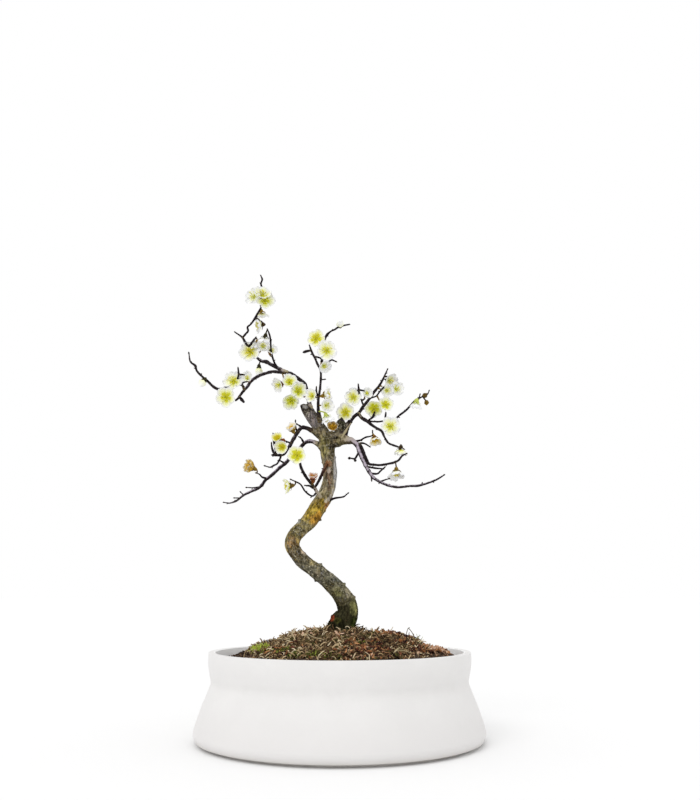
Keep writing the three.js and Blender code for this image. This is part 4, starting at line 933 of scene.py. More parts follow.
def petal_material():
    """Off-white petals with faint veins and painted shade in soft clouds and along their rims, yellow at the
    heart, or golden all over on the warm ones.
    """
    paint = Paint("petal", 0.6, 0.15)
    along, side, warm = paint.value("along"), paint.value("side"), paint.value("warm")
    ragged = paint.plus(along, paint.stray(1.9, 3), 0.5)
    ragged = paint.plus(ragged, paint.value("spread"), -0.75)
    ragged = paint.plus(ragged, paint.times(side, side), 0.42)
    # Painted shade in soft lavender-grey clouds.
    colour = paint.mix(paint.step(paint.noise(3.2, 4), 0.36, 0.6), *PETAL_SHADE_AND_WHITE)
    colour = paint.mix(paint.step(ragged, 0.98, 0.4), colour, paint.ramp(warm, BLUSH_TONES))
    colour = paint.mix(paint.step(ragged, 0.52, 0.24), colour, paint.ramp(warm, HEART_TONES))
    veins = paint.plus(paint.times(side, 21), paint.noise(2.5, 2), 5)
    veins = paint.step(paint.math("ABSOLUTE", paint.math("SINE", veins)), 0.2, 0.0)
    colour = paint.over(colour, PETAL_VEIN, veins, 0.16)
    # Painted shade along the rims.
    edge = paint.math("MAXIMUM", along, paint.math("ABSOLUTE", side))
    colour = paint.over(colour, PETAL_EDGE_SHADE, paint.step(edge, 0.9, 1.0), 0.16)
    golden = paint.step(warm, 0.82, 0.9), paint.step(warm, 0.97, 0.92)
    spots = paint.step(paint.noise(2.2, 4, shift=5), 0.44, 0.56)
    colour = paint.over(colour, PETAL_BURNT, *golden, spots)
    return paint.finish(colour, paint.noise(0.9, 2), 0.05)


# Anthers and filaments, each of cool and of warm blossoms.
ANTHERS, ANTHER_OLD = [(0.74, 0.68, 0.02), (0.7, 0.36, 0.012)], (0.16, 0.12, 0.012)
FILAMENTS = [(0.72, 0.75, 0.08), (0.76, 0.52, 0.08)]


def stamen_material():
    """Pale filaments with yellow anthers, some of them olive or brown."""
    paint = Paint("stamen", 0.6, 0.15)
    warm = paint.value("warm")
    anther = paint.mix(paint.step(paint.noise(2.2), 0.58, 0.68), paint.mix(warm, *ANTHERS), ANTHER_OLD)
    colour = paint.mix(paint.value("anther"), paint.mix(warm, *FILAMENTS), anther)
    return paint.finish(colour, paint.noise(0.4), 0.03)


CALYX_TONES = [
    [0.0, (0.028, 0.032, 0.008)], [0.25, (0.045, 0.024, 0.01)], [0.5, (0.36, 0.23, 0.03)],
    [0.75, (0.2, 0.055, 0.012)], [1.0, (0.3, 0.04, 0.016)],
]
CALYX_LIME, CALYX_SPOT = (0.5, 0.56, 0.12), (0.03, 0.014, 0.007)


def calyx_material():
    """Cups and sepals, lime, olive, brown, golden or red-brown by their own value, with dark spots."""
    paint = Paint("calyx", 0.7, 0.1)
    tint = paint.value("tint")
    colour = paint.ramp(paint.plus(tint, paint.stray(1.7, 4), 0.5), CALYX_TONES)
    lime = paint.step(tint, -0.08, -0.12)
    colour = paint.mix(lime, colour, CALYX_LIME)
    spots = paint.step(paint.noise(1.1, 3, shift=6), 0.5, 0.66)
    colour = paint.over(colour, CALYX_SPOT, spots, paint.plus(1, lime, -0.7))
    return paint.finish(colour, paint.noise(0.6, 3), 0.06)


# ---------------------------------------------------------------- the pot

ARC_POINTS, ARC_ROOM = 5, 0.45  # points of a rounded corner, and the share of a side that it may take
POT_WOBBLE, WOBBLE_TURNS = 0.25, 2.2
POT_EDGE = math.radians(50)  # edges that turn more than this stay sharp


def rounded_outline(corners):
    """The points of a closed outline whose [radius, height, rounding] corners are arcs."""
    points = []
    for i, (*corner, rounding) in enumerate(corners):
        corner = np.array(corner, float)
        before = np.array(corners[i - 1][:2], float) - corner
        after = np.array(corners[(i + 1) % len(corners)][:2], float) - corner
        room = ARC_ROOM * min(np.linalg.norm(before), np.linalg.norm(after))
        a, b = (corner + unit(way) * min(rounding, room) for way in (before, after))
        for t in np.linspace(0, 1, ARC_POINTS):
            points.append((1 - t) ** 2 * a + 2 * t * (1 - t) * corner + t * t * b)
    return points


def turned(outline, segments, wobble):
    """A closed outline of [radius, height] points turned round +Z, faintly out of true."""
    shape = Shape()
    outline = np.array(outline)
    count = len(outline)
    for k in range(segments):
        angle = k * TURN / segments
        out = np.array((math.cos(angle), math.sin(angle)))
        sway = wobble * noise.noise(Vector((*(WOBBLE_TURNS * out), 0)))
        radius = outline[:, 0] + sway
        shape.vertices.extend(np.stack([radius * out[0], radius * out[1], outline[:, 1]], 1))
        n = (k + 1) % segments
        for i in range(count):
            j = (i + 1) % count
            shape.faces.append((k * count + i, k * count + j, n * count + j, n * count + i))
    return shape


def make_pot():
    mesh = mesh_from("pot_glazed", turned(rounded_outline(POT_SECTION), POT_SEGMENTS, POT_WOBBLE))
    mesh.set_sharp_from_angle(angle=POT_EDGE)
    add_piece("pot_glazed", mesh, ceramic_material(), ["pot"])


def finish_drainage_mesh():
    """The plastic mesh over the drain hole keeps the model's shape."""
    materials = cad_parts["drainage_mesh"].data.materials
    materials.clear()
    materials.append(plastic_material())


# ---------------------------------------------------------------- soil and moss

SOIL_NET = (122.8, 62, 260)  # the soil's radius, and its net's rings and segments
MOSS_NET = (107, 80, 330)
SOIL_SINK, MOSS_SINK, MOSS_BACK = 1.2, 1.6, 1.2  # how far each lies under the mound's height
SOIL_EDGE = 3  # the rim of the soil without crumbs
# Layers of noise: [height, size, offset, octaves].
LUMPS = [[1.8, 17, 3, 1], [1.5, 6.5, 8, 2]]
SOIL_RELIEF = [[0.9, 3.2, 5, 3], [0.7, 10, 1, 1]]
MOSS_RELIEF = [1.1, 3.1, 2, 3]
MOSS_STRANDS = [0.5, 1.3, 9, 2]
LUMPS_EDGE = (100, 122)
RING_POWER = 0.9  # below 1, so that a net's rings lie closer together towards its edge
# The waves in the moss's ragged edge, [depth, count, phase], and how soft the edge is.
MOSS_WAVES = [[3.2, 5, 1], [2.1, 11, 0], [1.3, 23, 2]]
MOSS_SOFTNESS = 5


def flat(x, y):
    return np.stack([x, y, np.zeros_like(x)], 1)


def mound_height(x, y):
    """The mound's height, before its lumps, over places round the pot's middle."""
    radius = np.hypot(x, y)
    side = x / np.maximum(radius, 0.01)
    left, right, front = (np.interp(radius, *table) for table in (MOUND_LEFT, MOUND_RIGHT, MOUND_FRONT))
    return np.where(side < 0, left, right) * side**2 + front * (1 - side**2)


def moss_share(x, y):
    """1 where moss covers the soil and 0 outside its ragged edge."""
    radius = np.hypot(x, y)
    side = x / np.maximum(radius, 0.01)
    reach = np.where(side < 0, MOSS_REACH["left"], MOSS_REACH["right"]) * side**2
    reach = reach + MOSS_REACH["front"] * (1 - side**2)
    for depth, count, phase in MOSS_WAVES:
        reach = reach + depth * np.sin(count * np.arctan2(y, x) + phase)
    return 1 - ease(radius, reach - MOSS_SOFTNESS, reach)


def moss_top(x, y):
    """The mound's height with the moss's cushions and hollows."""
    lumps = (1 - ease(np.hypot(x, y), *LUMPS_EDGE)) * layered_noise(flat(x, y), LUMPS)
    return mound_height(x, y) + lumps * moss_share(x, y)


def polar_grid(reach, rings, segments):
    """Places of a polar net: one in the middle and then ring after ring, with its faces."""
    radii = reach * np.linspace(0, 1, rings + 1)[1:, None] ** RING_POWER
    turns = np.arange(segments) * TURN / segments
    x = np.concatenate([[0], (radii * np.cos(turns)).ravel()])
    y = np.concatenate([[0], (radii * np.sin(turns)).ravel()])
    faces = []
    for k in range(segments):
        n = (k + 1) % segments
        faces.append((0, 1 + k, 1 + n))
        for i in range(1, (rings - 1) * segments, segments):
            faces.append((i + k, i + k + segments, i + n + segments, i + n))
    return x, y, faces


def make_soil():
    """The bed of earth: crumbly on top, and plain where the pot's wall and floor hold it."""
    reach, _, segments = SOIL_NET
    x, y, faces = polar_grid(*SOIL_NET)
    edge = ease(reach - np.hypot(x, y), 0, SOIL_EDGE)
    crumbs = edge * layered_noise(flat(x, y), SOIL_RELIEF)
    height = moss_top(x, y) - MOSS_THICKNESS * moss_share(x, y) + crumbs - SOIL_SINK
    vertices = [np.stack([x, y, height], 1)]
    turns = np.arange(segments) * TURN / segments
    below = len(x) - segments
    for radius, level in reversed(SOIL_WALL):
        base = sum(len(rows) for rows in vertices)
        ring = [radius * np.cos(turns), radius * np.sin(turns), np.full(segments, level)]
        vertices.append(np.stack(ring, 1))
        for k in range(segments):
            n = (k + 1) % segments
            faces.append((below + k, base + k, base + n, below + n))
        below = base
    vertices.append(np.array([[0, 0, SOIL_BOTTOM]]))
    last = below + segments
    faces += [(last, below + (k + 1) % segments, below + k) for k in range(segments)]
    shape = Shape()
    shape.add(np.vstack(vertices), faces)
    add_piece("soil_bed", shape, soil_material(), ["soil"])


def make_moss_bed():
    """The matted skin of moss, closed underneath, just above the soil."""
    x, y, faces = polar_grid(*MOSS_NET)
    cover = moss_share(x, y)
    places = flat(x, y)
    fine = layered_noise(places, [MOSS_RELIEF]) + np.abs(layered_noise(places, [MOSS_STRANDS]))
    ground = moss_top(x, y) - MOSS_THICKNESS * cover - MOSS_SINK
    top = ground + cover * (MOSS_THICKNESS + MOSS_SINK + fine)
    count = len(x)
    rim = range(count - MOSS_NET[2], count)
    faces += [tuple(count + v for v in reversed(face)) for face in faces[:]]
    faces += [(count + a, count + b, b, a) for a, b in zip(rim, [*rim[1:], rim[0]])]
    shape = Shape()
    shape.add(np.vstack([np.stack([x, y, level], 1) for level in (top, ground - MOSS_BACK)]), faces)
    add_piece("moss_bed", shape, moss_bed_material(), ["moss_cover"])


# ---------------------------------------------------------------- what lies and grows on the mound

RAGGED_ENDS = (0.88, 0.14)  # the least share of its reach aside that is strewn, and what may come on top


def strewn(count, seed, inner, outer, aside):
    """Seeded places on the mound, thinner towards the bare soil at its left and right ends."""
    draw = random.Random(seed)
    least, more = RAGGED_ENDS
    found = []
    while len(found) < count:
        radius, turn = outer * math.sqrt(draw.random()), TURN * draw.random()
        x, y = radius * math.cos(turn), radius * math.sin(turn)
        if radius > inner and abs(x) < aside * (least + more * draw.random()):
            found.append((x, y))
    x, y = np.array(found).T
    return np.stack([x, y, moss_top(x, y) - SOIL_SINK * (1 - moss_share(x, y))], 1), draw


def scattered(draw, x, y, distance):
    """A place on the mound, that far from another in a drawn direction."""
    turn = TURN * draw.random()
    x, y = x + distance * math.cos(turn), y + distance * math.sin(turn)
    return np.array((x, y, moss_top(np.array([x]), np.array([y]))[0]))


def leaning(draw, lean, up):
    """A drawn direction, mostly upwards."""
    return unit(np.array((draw.gauss(0, lean), draw.gauss(0, lean), up)))


def scatter(draw, spread):
    return np.array([draw.gauss(0, spread) for _ in range(3)])


CURL = {"points": 6, "climb": (0.25, 1.45), "bend": (0.5, 3.4), "twist": (-0.9, 0.9), "taper": 0.5}


def curl(draw, foot, length, radius):
    """The rows of a strand that stands up out of the moss and curls over, tapering to its tip."""
    turn, climb = TURN * draw.random(), draw.uniform(*CURL["climb"])
    bend, twist = draw.uniform(*CURL["bend"]) * draw.choice((-1, 1)), draw.uniform(*CURL["twist"])
    place, rows = np.array(foot, float), []
    for t in np.linspace(0, 1, CURL["points"]):
        rows.append((*place, radius * (1 - CURL["taper"] * t**2)))
        level = climb - abs(bend) * t
        spin = turn + twist * 2 * t
        step = (math.cos(spin) * math.cos(level), math.sin(spin) * math.cos(level), math.sin(level))
        place = place + np.array(step) * length / (CURL["points"] - 1)
    return np.array(rows)


FIBRES = {"count": 4300, "seed": 11, "inner": 11, "outer": 112, "aside": 94}
FIBRE_LENGTH, FIBRE_RADIUS, FIBRE_SINK = (4.0, 10.0), (0.42, 0.88), (0.9, 3.0)
# Within reach of the trunk, at x, fibres are longer by a share and stand higher.
BY_TRUNK = {"x": 5, "reach": 17, "longer": 1.25, "higher": 1.5}
# How pale the sphagnum is by its place from left to right, and how much that varies.
FIBRE_TONES = [
    [-95, -71, -55, -30, -10, 5, 15, 30, 46, 60, 90],
    [0.5, 0.5, 0.65, 0.69, 0.55, 0.51, 0.42, 0.44, 0.31, 0.38, 0.48],
]
FIBRE_PATCHES, FIBRE_STRAY = [[0.35, 11, 4, 1]], 0.3


def make_fibres():
    """Dry tan sphagnum that stands and curls thickly over the mound, darker towards its right end."""
    shape = Shape()
    places, draw = strewn(**FIBRES)
    for place, patch in zip(places, layered_noise(places, FIBRE_PATCHES)):
        by_trunk = math.hypot(place[0] - BY_TRUNK["x"], place[1]) < BY_TRUNK["reach"]
        length = draw.uniform(*FIBRE_LENGTH) * (BY_TRUNK["longer"] if by_trunk else 1)
        foot = place - (0, 0, draw.uniform(*FIBRE_SINK) - BY_TRUNK["higher"] * by_trunk)
        tone = np.interp(place[0], *FIBRE_TONES) + patch + draw.gauss(0, FIBRE_STRAY)
        strand = curl(draw, foot, length, draw.uniform(*FIBRE_RADIUS))
        shape.add(*skin(strand, 3), tint=np.clip(tone, 0, 1))
    add_piece("sphagnum_fibres", shape, strand_material("sphagnum", SPHAGNUM_TONES))


# Where green moss grows thick: [x, y, reach, how bright].
GREEN_TUFTS = [
    [-82, -22, 6, 1.15], [-77, -40, 9, 1.1], [-68, -56, 7, 0.85], [-52, -66, 8, 0.4],
    [-40, -84, 7, 0.35], [-24, -88, 7, 0.4], [-8, -92, 6, 0.35], [20, -60, 5, 0.3], [30, -10, 8, 0.4],
    [76, -6, 6, 0.7], [-50, 40, 22, 0.45], [20, 62, 24, 0.4], [62, 38, 18, 0.5], [-20, 80, 16, 0.4],
]
LEAFLETS = {
    "crowding": 5.2, "gathered": 0.7, "sunk": 1, "lean": 0.6, "length": (2.0, 3.6),
    "longer_if_bright": 2.4, "radius": 0.42, "points": (0, 0.35, 0.7, 1), "tone": (-0.1, 0.32),
}


def make_green_moss():
    """Tufts of upright green leaflets, brightest at the mound's left end."""
    shape = Shape()
    draw = random.Random(5)
    for x, y, reach, bright in GREEN_TUFTS:
        for _ in range(int(LEAFLETS["crowding"] * reach * math.sqrt(reach))):
            foot = scattered(draw, x, y, reach * draw.random() ** LEAFLETS["gathered"])
            foot = foot - (0, 0, LEAFLETS["sunk"])
            lean = leaning(draw, LEAFLETS["lean"], 1.0)
            tall = draw.uniform(*LEAFLETS["length"]) + LEAFLETS["longer_if_bright"] * (bright > 1)
            rows = []
            for t in LEAFLETS["points"]:
                rows.append((*(foot + lean * tall * t), LEAFLETS["radius"] * math.sin(0.35 + 2.6 * t)))
            tone = bright + draw.gauss(*LEAFLETS["tone"])
            shape.add(*skin(np.array(rows), 3), tint=np.clip(tone, 0, 1))
    add_piece("green_moss", shape, strand_material("green_moss", GREEN_TONES, 0.8))


CRUMBS = {"count": 2400, "seed": 29, "inner": 15, "outer": 121, "aside": 130}
BARE_RADIUS = 84  # the soil is bare outside this
CRUMB_SIZE = {"least": 1.0, "on_soil": 3.4, "on_moss": 2.2}
CRUMB_SLENDER, CRUMB_ROUGH, CRUMB_LIFT = (0.32, 0.5), 0.09, 0.3
CRUMBS_ON_MOSS = 0.4  # the share of crumbs that stays on the moss
CRUMB_TONE = (0.4, 0.28)
# The soil is darker to the left of one place and paler to the right of another.
DARK_LEFT, PALE_RIGHT = {"x": -84, "by": 0.22}, {"x": 80, "by": 0.38}


def crumb(draw, size):
    """A rough grain of earth: an egg whose corners are pushed in and out."""
    axis = unit(scatter(draw, 1))
    vertices, faces = egg(-axis * size / 2, axis, size, size * draw.uniform(*CRUMB_SLENDER), 5, 4)
    return vertices + np.array([scatter(draw, CRUMB_ROUGH * size) for _ in vertices]), faces


def make_crumbs():
    """Loose grains of earth, thick on the bare soil round the moss."""
    shape = Shape()
    places, draw = strewn(**CRUMBS)
    for place in places:
        ground = "on_soil" if np.hypot(place[0], place[1]) > BARE_RADIUS else "on_moss"
        if ground == "on_soil" or draw.random() < CRUMBS_ON_MOSS:
            vertices, faces = crumb(draw, draw.uniform(CRUMB_SIZE["least"], CRUMB_SIZE[ground]))
            tone = draw.gauss(*CRUMB_TONE) - DARK_LEFT["by"] * (place[0] < DARK_LEFT["x"])
            tone = tone + PALE_RIGHT["by"] * (place[0] > PALE_RIGHT["x"])
            shape.add(vertices + place + (0, 0, CRUMB_LIFT), faces, tint=np.clip(tone, 0, 1))
    add_piece("soil_crumbs", shape, strand_material("soil_grain", CRUMB_TONES, 0.95))


# Where dead leaves lie thick: [x, y, reach, how many, how orange].
LITTER = [
    [45, -10, 12, 26, 0.75], [72, -44, 18, 70, 0.45], [96, -20, 13, 120, 0.85], [26, -74, 22, 90, 0.4],
    [-36, -22, 12, 12, 0.85], [6, -42, 12, 12, 0.8], [-60, -60, 24, 34, 0.4], [0, 66, 34, 50, 0.5],
    [60, -8, 14, 40, 0.35], [16, -90, 18, 40, 0.5], [60, 50, 26, 40, 0.55], [-70, 30, 22, 30, 0.4],
    [0, -88, 40, 46, 0.4], [40, -92, 24, 30, 0.55],
]
SCRAPS = {
    "length": (2.4, 6.5), "slender": (0.12, 0.3), "cupped": (-0.9, 1.0), "lift": (0.4, 2.2),
    "thickness": 0.3, "lean": (0.8, 0.8), "tone_stray": 0.28,
}


def scrap_surface(length, width, cupped):
    """The middle of a pointed scrap of leaf that is curled along and across."""

    def surface(c, s):
        half = width * np.sin(math.pi * (0.12 + 0.8 * s)) * c
        rise = cupped * (np.abs(c) ** 1.5 * width + (s - 0.5) ** 2 * length)
        return np.stack([half, (s - 0.5) * length, rise], -1)

    return surface


def make_litter():
    """Curled scraps of dead leaf and bark on the moss."""
    shape = Shape()
    draw = random.Random(41)
    for x, y, reach, count, orange in LITTER:
        for _ in range(count):
            place = scattered(draw, x, y, reach * math.sqrt(draw.random()))
            length, cupped = draw.uniform(*SCRAPS["length"]), draw.uniform(*SCRAPS["cupped"])
            width = length * draw.uniform(*SCRAPS["slender"])
            vertices, faces, _, _ = blade(scrap_surface(length, width, cupped), 4, 5, SCRAPS["thickness"])
            lean = leaning(draw, *SCRAPS["lean"])
            place = place + (0, 0, draw.uniform(*SCRAPS["lift"]))
            vertices = vertices @ standing(lean, TURN * draw.random()).T + place
            tone = orange + draw.gauss(0, SCRAPS["tone_stray"])
            shape.add(vertices, faces, tint=np.clip(tone, 0, 1))
    add_piece("leaf_litter", shape, strand_material("litter", LITTER_TONES, 0.8))


# Sticks and grass as routes of [x, y, z, radius], each with its tone.
SPRIGS = [
    [[66, 4, 99, 0.45], [68, 5, 104.5, 0.4], [70, 6, 109.5, 0.4], [71.4, 6, 110.3, 0.3]],
    [[70, 6, 109.8, 0.4], [72.4, 5, 107, 0.4], [74.6, 4, 103.5, 0.45], [77.5, 3, 97.5, 0.4]],
    [[79, 2, 95, 0.35], [79.8, 1, 99, 0.3], [80.6, 0, 103.5, 0.15]],
    [[80, -2, 95, 0.35], [82.4, -3, 98.5, 0.3], [83.8, -4, 101.6, 0.15]],
    [[76, -1, 96, 0.35], [78.4, -2, 100.5, 0.3], [77.6, -2, 104.2, 0.15]],
    [[49, -83, 88.6, 0.5], [52.5, -76, 92.6, 0.55], [56.5, -70, 94.6, 0.5]],
    [[53, -76, 92.8, 0.5], [60, -74, 92, 0.45], [67, -76, 90, 0.35]],
    [[-68, -30, 99.5, 0.5], [-60, -36, 100.4, 0.5], [-52, -40, 101.4, 0.4]],
    [[-30, -50, 106, 0.5], [-24, -60, 103.6, 0.5], [-14, -66, 101.6, 0.4]],
    [[40, 40, 104, 0.5], [50, 48, 101.5, 0.5], [58, 60, 96, 0.4]],
]
SPRIG_TONES = [0.08, 0.08, 0.9, 0.8, 0.7, 0.36, 0.34, 0.2, 0.3, 0.3]
SPRIG_SKIN = (1.2, 5)  # the step and the sides of a stem's skin
SEED_HEAD = {"foot": (74.4, 4.4, 104.4), "way": (0.4, -0.3, -0.85), "length": 2.6, "radius": 0.75}
SEED_TONE = 0.1


def make_sprigs():
    """Dead grass stems, a seed head, wisps of new grass and a few fallen twigs."""
    shape = Shape()
    step, sides = SPRIG_SKIN
    for route, tone in zip(SPRIGS, SPRIG_TONES):
        shape.add(*skin(smooth_rows(route, step), sides), tint=tone)
    axis = unit(np.array(SEED_HEAD["way"]))
    seeds = egg(np.array(SEED_HEAD["foot"]), axis, SEED_HEAD["length"], SEED_HEAD["radius"], 6, 5)
    shape.add(*seeds, tint=SEED_TONE)
    add_piece("grass_sprigs", shape, strand_material("dry_grass", GRASS_TONES, 0.7))


# ---------------------------------------------------------------- the wood

# Small knobs where the bark is nearest to [x, y, z], each with its reach and how far it stands out.
NUBS = [
    [-42.9, -6, 219.5, 1.5, 2.2], [-20.3, -5, 219.8, 1.3, 2.0], [-15, -3, 229, 1.8, 1.0],
    [-19.6, -10, 173.1, 1.4, 1.8], [-24.3, -9, 158, 1.3, 1.6], [4.4, -4, 154.1, 1.4, 1.8],
    [13.2, 0, 140.3, 1.6, 1.4], [-7.8, -6, 122, 2.8, 2.6], [-19.2, 4, 281, 1.4, 1.2],
    [-3.4, 4, 287, 1.4, 1.2], [-38.5, -4, 343, 1.5, 1.2], [-31.5, -2, 342, 1.4, 1.2],
    [-38, -19, 209.8, 2.4, 0.8], [-4, -14, 160, 2.2, 0.8], [-28, -20, 176, 2.4, 0.8],
    [14, -5, 132, 2.4, 0.9], [-1.5, -12, 137, 2.4, 0.8], [-36, 6, 200, 2.2, 1.4],
    [-20, 10, 250, 2.0, 1.2], [-25, 9, 330, 1.8, 1.2], [-33, -14, 188, 2.0, 0.7],
]
# Lines of bark that heal round wounds or stand out as bare wood: [from, to, half width, height].
WELTS = [
    [(-15.2, -3, 279), (-15.4, -5, 248), 1.3, 0.8], [(-8.8, -3, 280), (-8.2, -6, 249), 1.3, 0.8],
    [(-15.6, -8, 250.4), (-13.4, -9, 236.8), 1.2, 0.9], [(-6.4, -5, 250.8), (-13.0, -9, 237), 1.2, 0.9],
    [(-12.1, -2.5, 277), (-11.8, -5, 249), 2.6, -1.3],
]
STUMP_CUT = {"middle": (-38.5, -2.5, 341.5), "normal": (0.42, -0.7, 0.58), "reach": 14}
HOLLOW = {"middle": (-5.8, -3, 306.2), "reach": 2.6, "depth": 2.2}
HOLLOW_LIP = {"radius": 5.0, "width": 1.3, "height": 0.5}
# How rough the bark is at each height of the trunk, and the depths of its plates, crust and swells.
ROUGHNESS = [[105, 150, 225, 290, 340], [1.0, 0.95, 0.6, 0.5, 0.75]]
PLATES = {"depth": 0.75, "radius": 8, "squeeze": 0.3}
CRUST = [[0.34, 1.5, 6, 2]]
SWELLS, FLUTES = [[0.85, 13, 12, 1]], {"depth": 0.45, "count": 3, "twist": 0.034}
TRUNK_STEP, TRUNK_SIDES, ROOT_SIDES = 2.0, 40, 16
TRUNK_SKIN = {"voxel": 0.72, "passes": 7}
# How much a limb swells where it leaves the trunk, how that eases off, and its flare in millimetres.
COLLAR_SWELL = {"most": 1.32, "easing": 0.38, "flare": 0.5}


def tree_of(rows):
    """Finds rows by the place nearest to another."""
    tree = KDTree(len(rows))
    for i, row in enumerate(rows):
        tree.insert(row[:3], i)
    tree.balance()
    return tree


def segment_distance(places, start, end):
    start, way = np.array(start, float), np.subtract(end, start)
    share = np.clip((places - start) @ way / (way @ way), 0, 1)
    return np.linalg.norm(places - start - share[:, None] * way, axis=1)


def bump(distance, width):
    """A round rise of 1 where the distance is 0."""
    return np.exp(-((distance / width) ** 2))


def trunk_relief(places):
    """How far the bark stands out at places on the trunk, and how much of that is fine relief."""
    rows = smooth_rows(TRUNK, 1.0)
    _, across, up = turning_frames(rows[:, :3])
    tree = tree_of(rows)
    nearest = np.array([tree.find(place)[1] for place in places])
    offset = places - rows[nearest, :3]
    turn = np.arctan2((offset * up[nearest]).sum(1), (offset * across[nearest]).sum(1))
    round_it = PLATES["radius"] * np.cos(turn), PLATES["radius"] * np.sin(turn)
    unrolled = np.stack([*round_it, PLATES["squeeze"] * nearest], 1)
    plates = PLATES["depth"] * (0.5 - np.abs(noise_at(unrolled, 3.0, 3, 3)))
    rough = np.interp(places[:, 2], *ROUGHNESS)
    fine = rough * (plates + layered_noise(places, CRUST))
    flutes = FLUTES["depth"] * np.sin(FLUTES["count"] * turn + FLUTES["twist"] * nearest)
    broad = layered_noise(places, SWELLS) + flutes
    for *place, reach, height in NUBS:
        knob = places[np.argmin(((places - place) ** 2).sum(1))]
        broad += height * bump(np.linalg.norm(places - knob, axis=1), reach)
    for start, end, width, height in WELTS:
        broad += height * bump(segment_distance(places, start, end), width)
    distance = np.linalg.norm(places - HOLLOW["middle"], axis=1)
    broad += HOLLOW_LIP["height"] * bump(distance - HOLLOW_LIP["radius"], HOLLOW_LIP["width"])
    broad -= HOLLOW["depth"] * bump(distance, HOLLOW["reach"])
    return broad + fine, fine / rough


def collar(route, reach):
    """The swollen first stretch of a limb."""
    rows = smooth_rows(route, 1.5)
    along = travelled(rows)
    rows = rows[along <= reach]
    share = along[along <= reach] / reach
    swollen = COLLAR_SWELL["most"] - COLLAR_SWELL["easing"] * share
    rows[:, 3] = rows[:, 3] * swollen + COLLAR_SWELL["flare"] * (1 - share) ** 2
    return rows


def sawn(places):
    """Brings what stands past the stump's sawn face back onto it."""
    middle, normal = np.array(STUMP_CUT["middle"], float), unit(np.array(STUMP_CUT["normal"], float))
    past = (places - middle) @ normal
    stump = np.linalg.norm(places - middle, axis=1) < STUMP_CUT["reach"]
    return places - np.where(stump, np.maximum(past, 0), 0)[:, None] * normal


def make_trunk():
    """The trunk with its roots and the swollen roots of the limbs, in one skin with bark relief."""
    shape = Shape()
    shape.add(*skin(smooth_rows(TRUNK, TRUNK_STEP), TRUNK_SIDES, tip=0.15))
    for route in ROOTS:
        shape.add(*skin(smooth_rows(route, TRUNK_STEP), ROOT_SIDES))
    for name, reach in COLLARS.items():
        shape.add(*skin(collar(LIMBS[name], reach), ROOT_SIDES, tip=0.1))
    mesh = fused(shape, **TRUNK_SKIN)
    places, normals = read_vectors(mesh.vertices, "co") / MM, read_vectors(mesh.vertices, "normal")
    height, fine = trunk_relief(places)
    places = sawn(places + normals * height[:, None])
    mesh.vertices.foreach_set("co", (places * MM).astype(np.float32).ravel())
    relief = np.clip(0.5 + 0.8 * fine, 0, 1)
    # Kept for the painted shade: the underside by how far each normal points down, the flanks by how far it
    # points sideways.
    keep_values(mesh, {"relief": relief, "under_shade": -normals[:, 2], "flank_shade": np.abs(normals[:, 0])})
    mesh.update()
    mesh.name = "trunk"
    add_piece("trunk", mesh, trunk_material(), ["tree_wood"])


LIMB_STEP = 1.2
WRINKLES = {"radius": 1.3, "along": 0.42}
KNUCKLES = {"every": 9.5, "at": 4.7, "shift": 3.7, "width": 1.1, "height": 0.13}
LIGHT_SIDE = (-0.35, -0.62, 0.7)  # where the painted light falls on the limbs
COLLAR_COVERS = 0.36  # the share of a limb's collar that hides its bare first stretch


def limb_swell(rows, sides, seed, rough):
    """Knuckles and wrinkles of a limb, as a share of its radius at every corner of every ring."""
    angles = np.arange(sides) * TURN / sides
    ring = np.stack([np.cos(angles), np.sin(angles)], 1) * WRINKLES["radius"]
    count = len(rows)
    corners = np.array([(*ring[k], WRINKLES["along"] * i) for i in range(count) for k in range(sides)])
    wrinkles = rough * noise_at(corners, 1.0, seed, 3).reshape(count, sides)
    along = np.arange(count) * LIMB_STEP + KNUCKLES["shift"] * seed
    knuckles = bump(along % KNUCKLES["every"] - KNUCKLES["at"], KNUCKLES["width"])[:, None]
    return 1 + wrinkles + KNUCKLES["height"] * knuckles


def make_branches(name, routes, old, sides, rough, material, seed):
    """Limbs or twigs, with their painted light and pale root wood, and how old and rusty they are, at every
    corner of every ring.
    """
    shape = Shape()
    for k, (key, route) in enumerate(routes.items()):
        rows = smooth_rows(route, LIMB_STEP)
        rows = rows[travelled(rows) >= COLLAR_COVERS * COLLARS.get(key, 0)]
        swell = limb_swell(rows, sides, seed + k, rough)
        vertices, faces = skin(rows, sides, swell, tip=1.2)
        relief = np.append(np.clip(0.5 + 2.4 * (swell - 1), 0, 1).ravel(), (0.5, 0.5))
        out = unit(vertices[:-2].reshape(len(rows), sides, 3) - rows[:, None, :3])
        # Painted light on the side that faces the light. It is weaker on thin wood and on limbs given less
        # of it, and pale root wood is added to the same value.
        less_light = 0.6 * (1 - LIT_SHARE.get(key, PLAIN_LIT_SHARE)) + 0.3 * (1 - ease(rows[:, 3:4], 0.9, 1.6))
        weather = np.append((out @ unit(np.array(LIGHT_SIDE)) - less_light).ravel(), (0.0, 0.0))
        young = ease(travelled(rows), 0, OLD_WOOD.get(key, old))
        aged = np.append(np.repeat(1 - young, sides), (1.0, 0.0))
        weather = weather + PALE_ROOTS.get(key, 0) * aged
        shape.add(vertices, faces, relief=relief, weather=weather, old=aged, rust=RUSTY.get(key, 0.0))
    add_piece(name, shape, material)


def make_limbs():
    bark = twig_material("limb_bark", LIMB_TONES, LIMB_LIT)
    make_branches("limbs", LIMBS, OLD_LIMB, sides=14, rough=0.12, material=bark, seed=3)


def make_twigs():
    bark = twig_material("twig_bark", TWIG_TONES, TWIG_LIT)
    make_branches("twigs", TWIGS, OLD_TWIG, sides=9, rough=0.14, material=bark, seed=60)


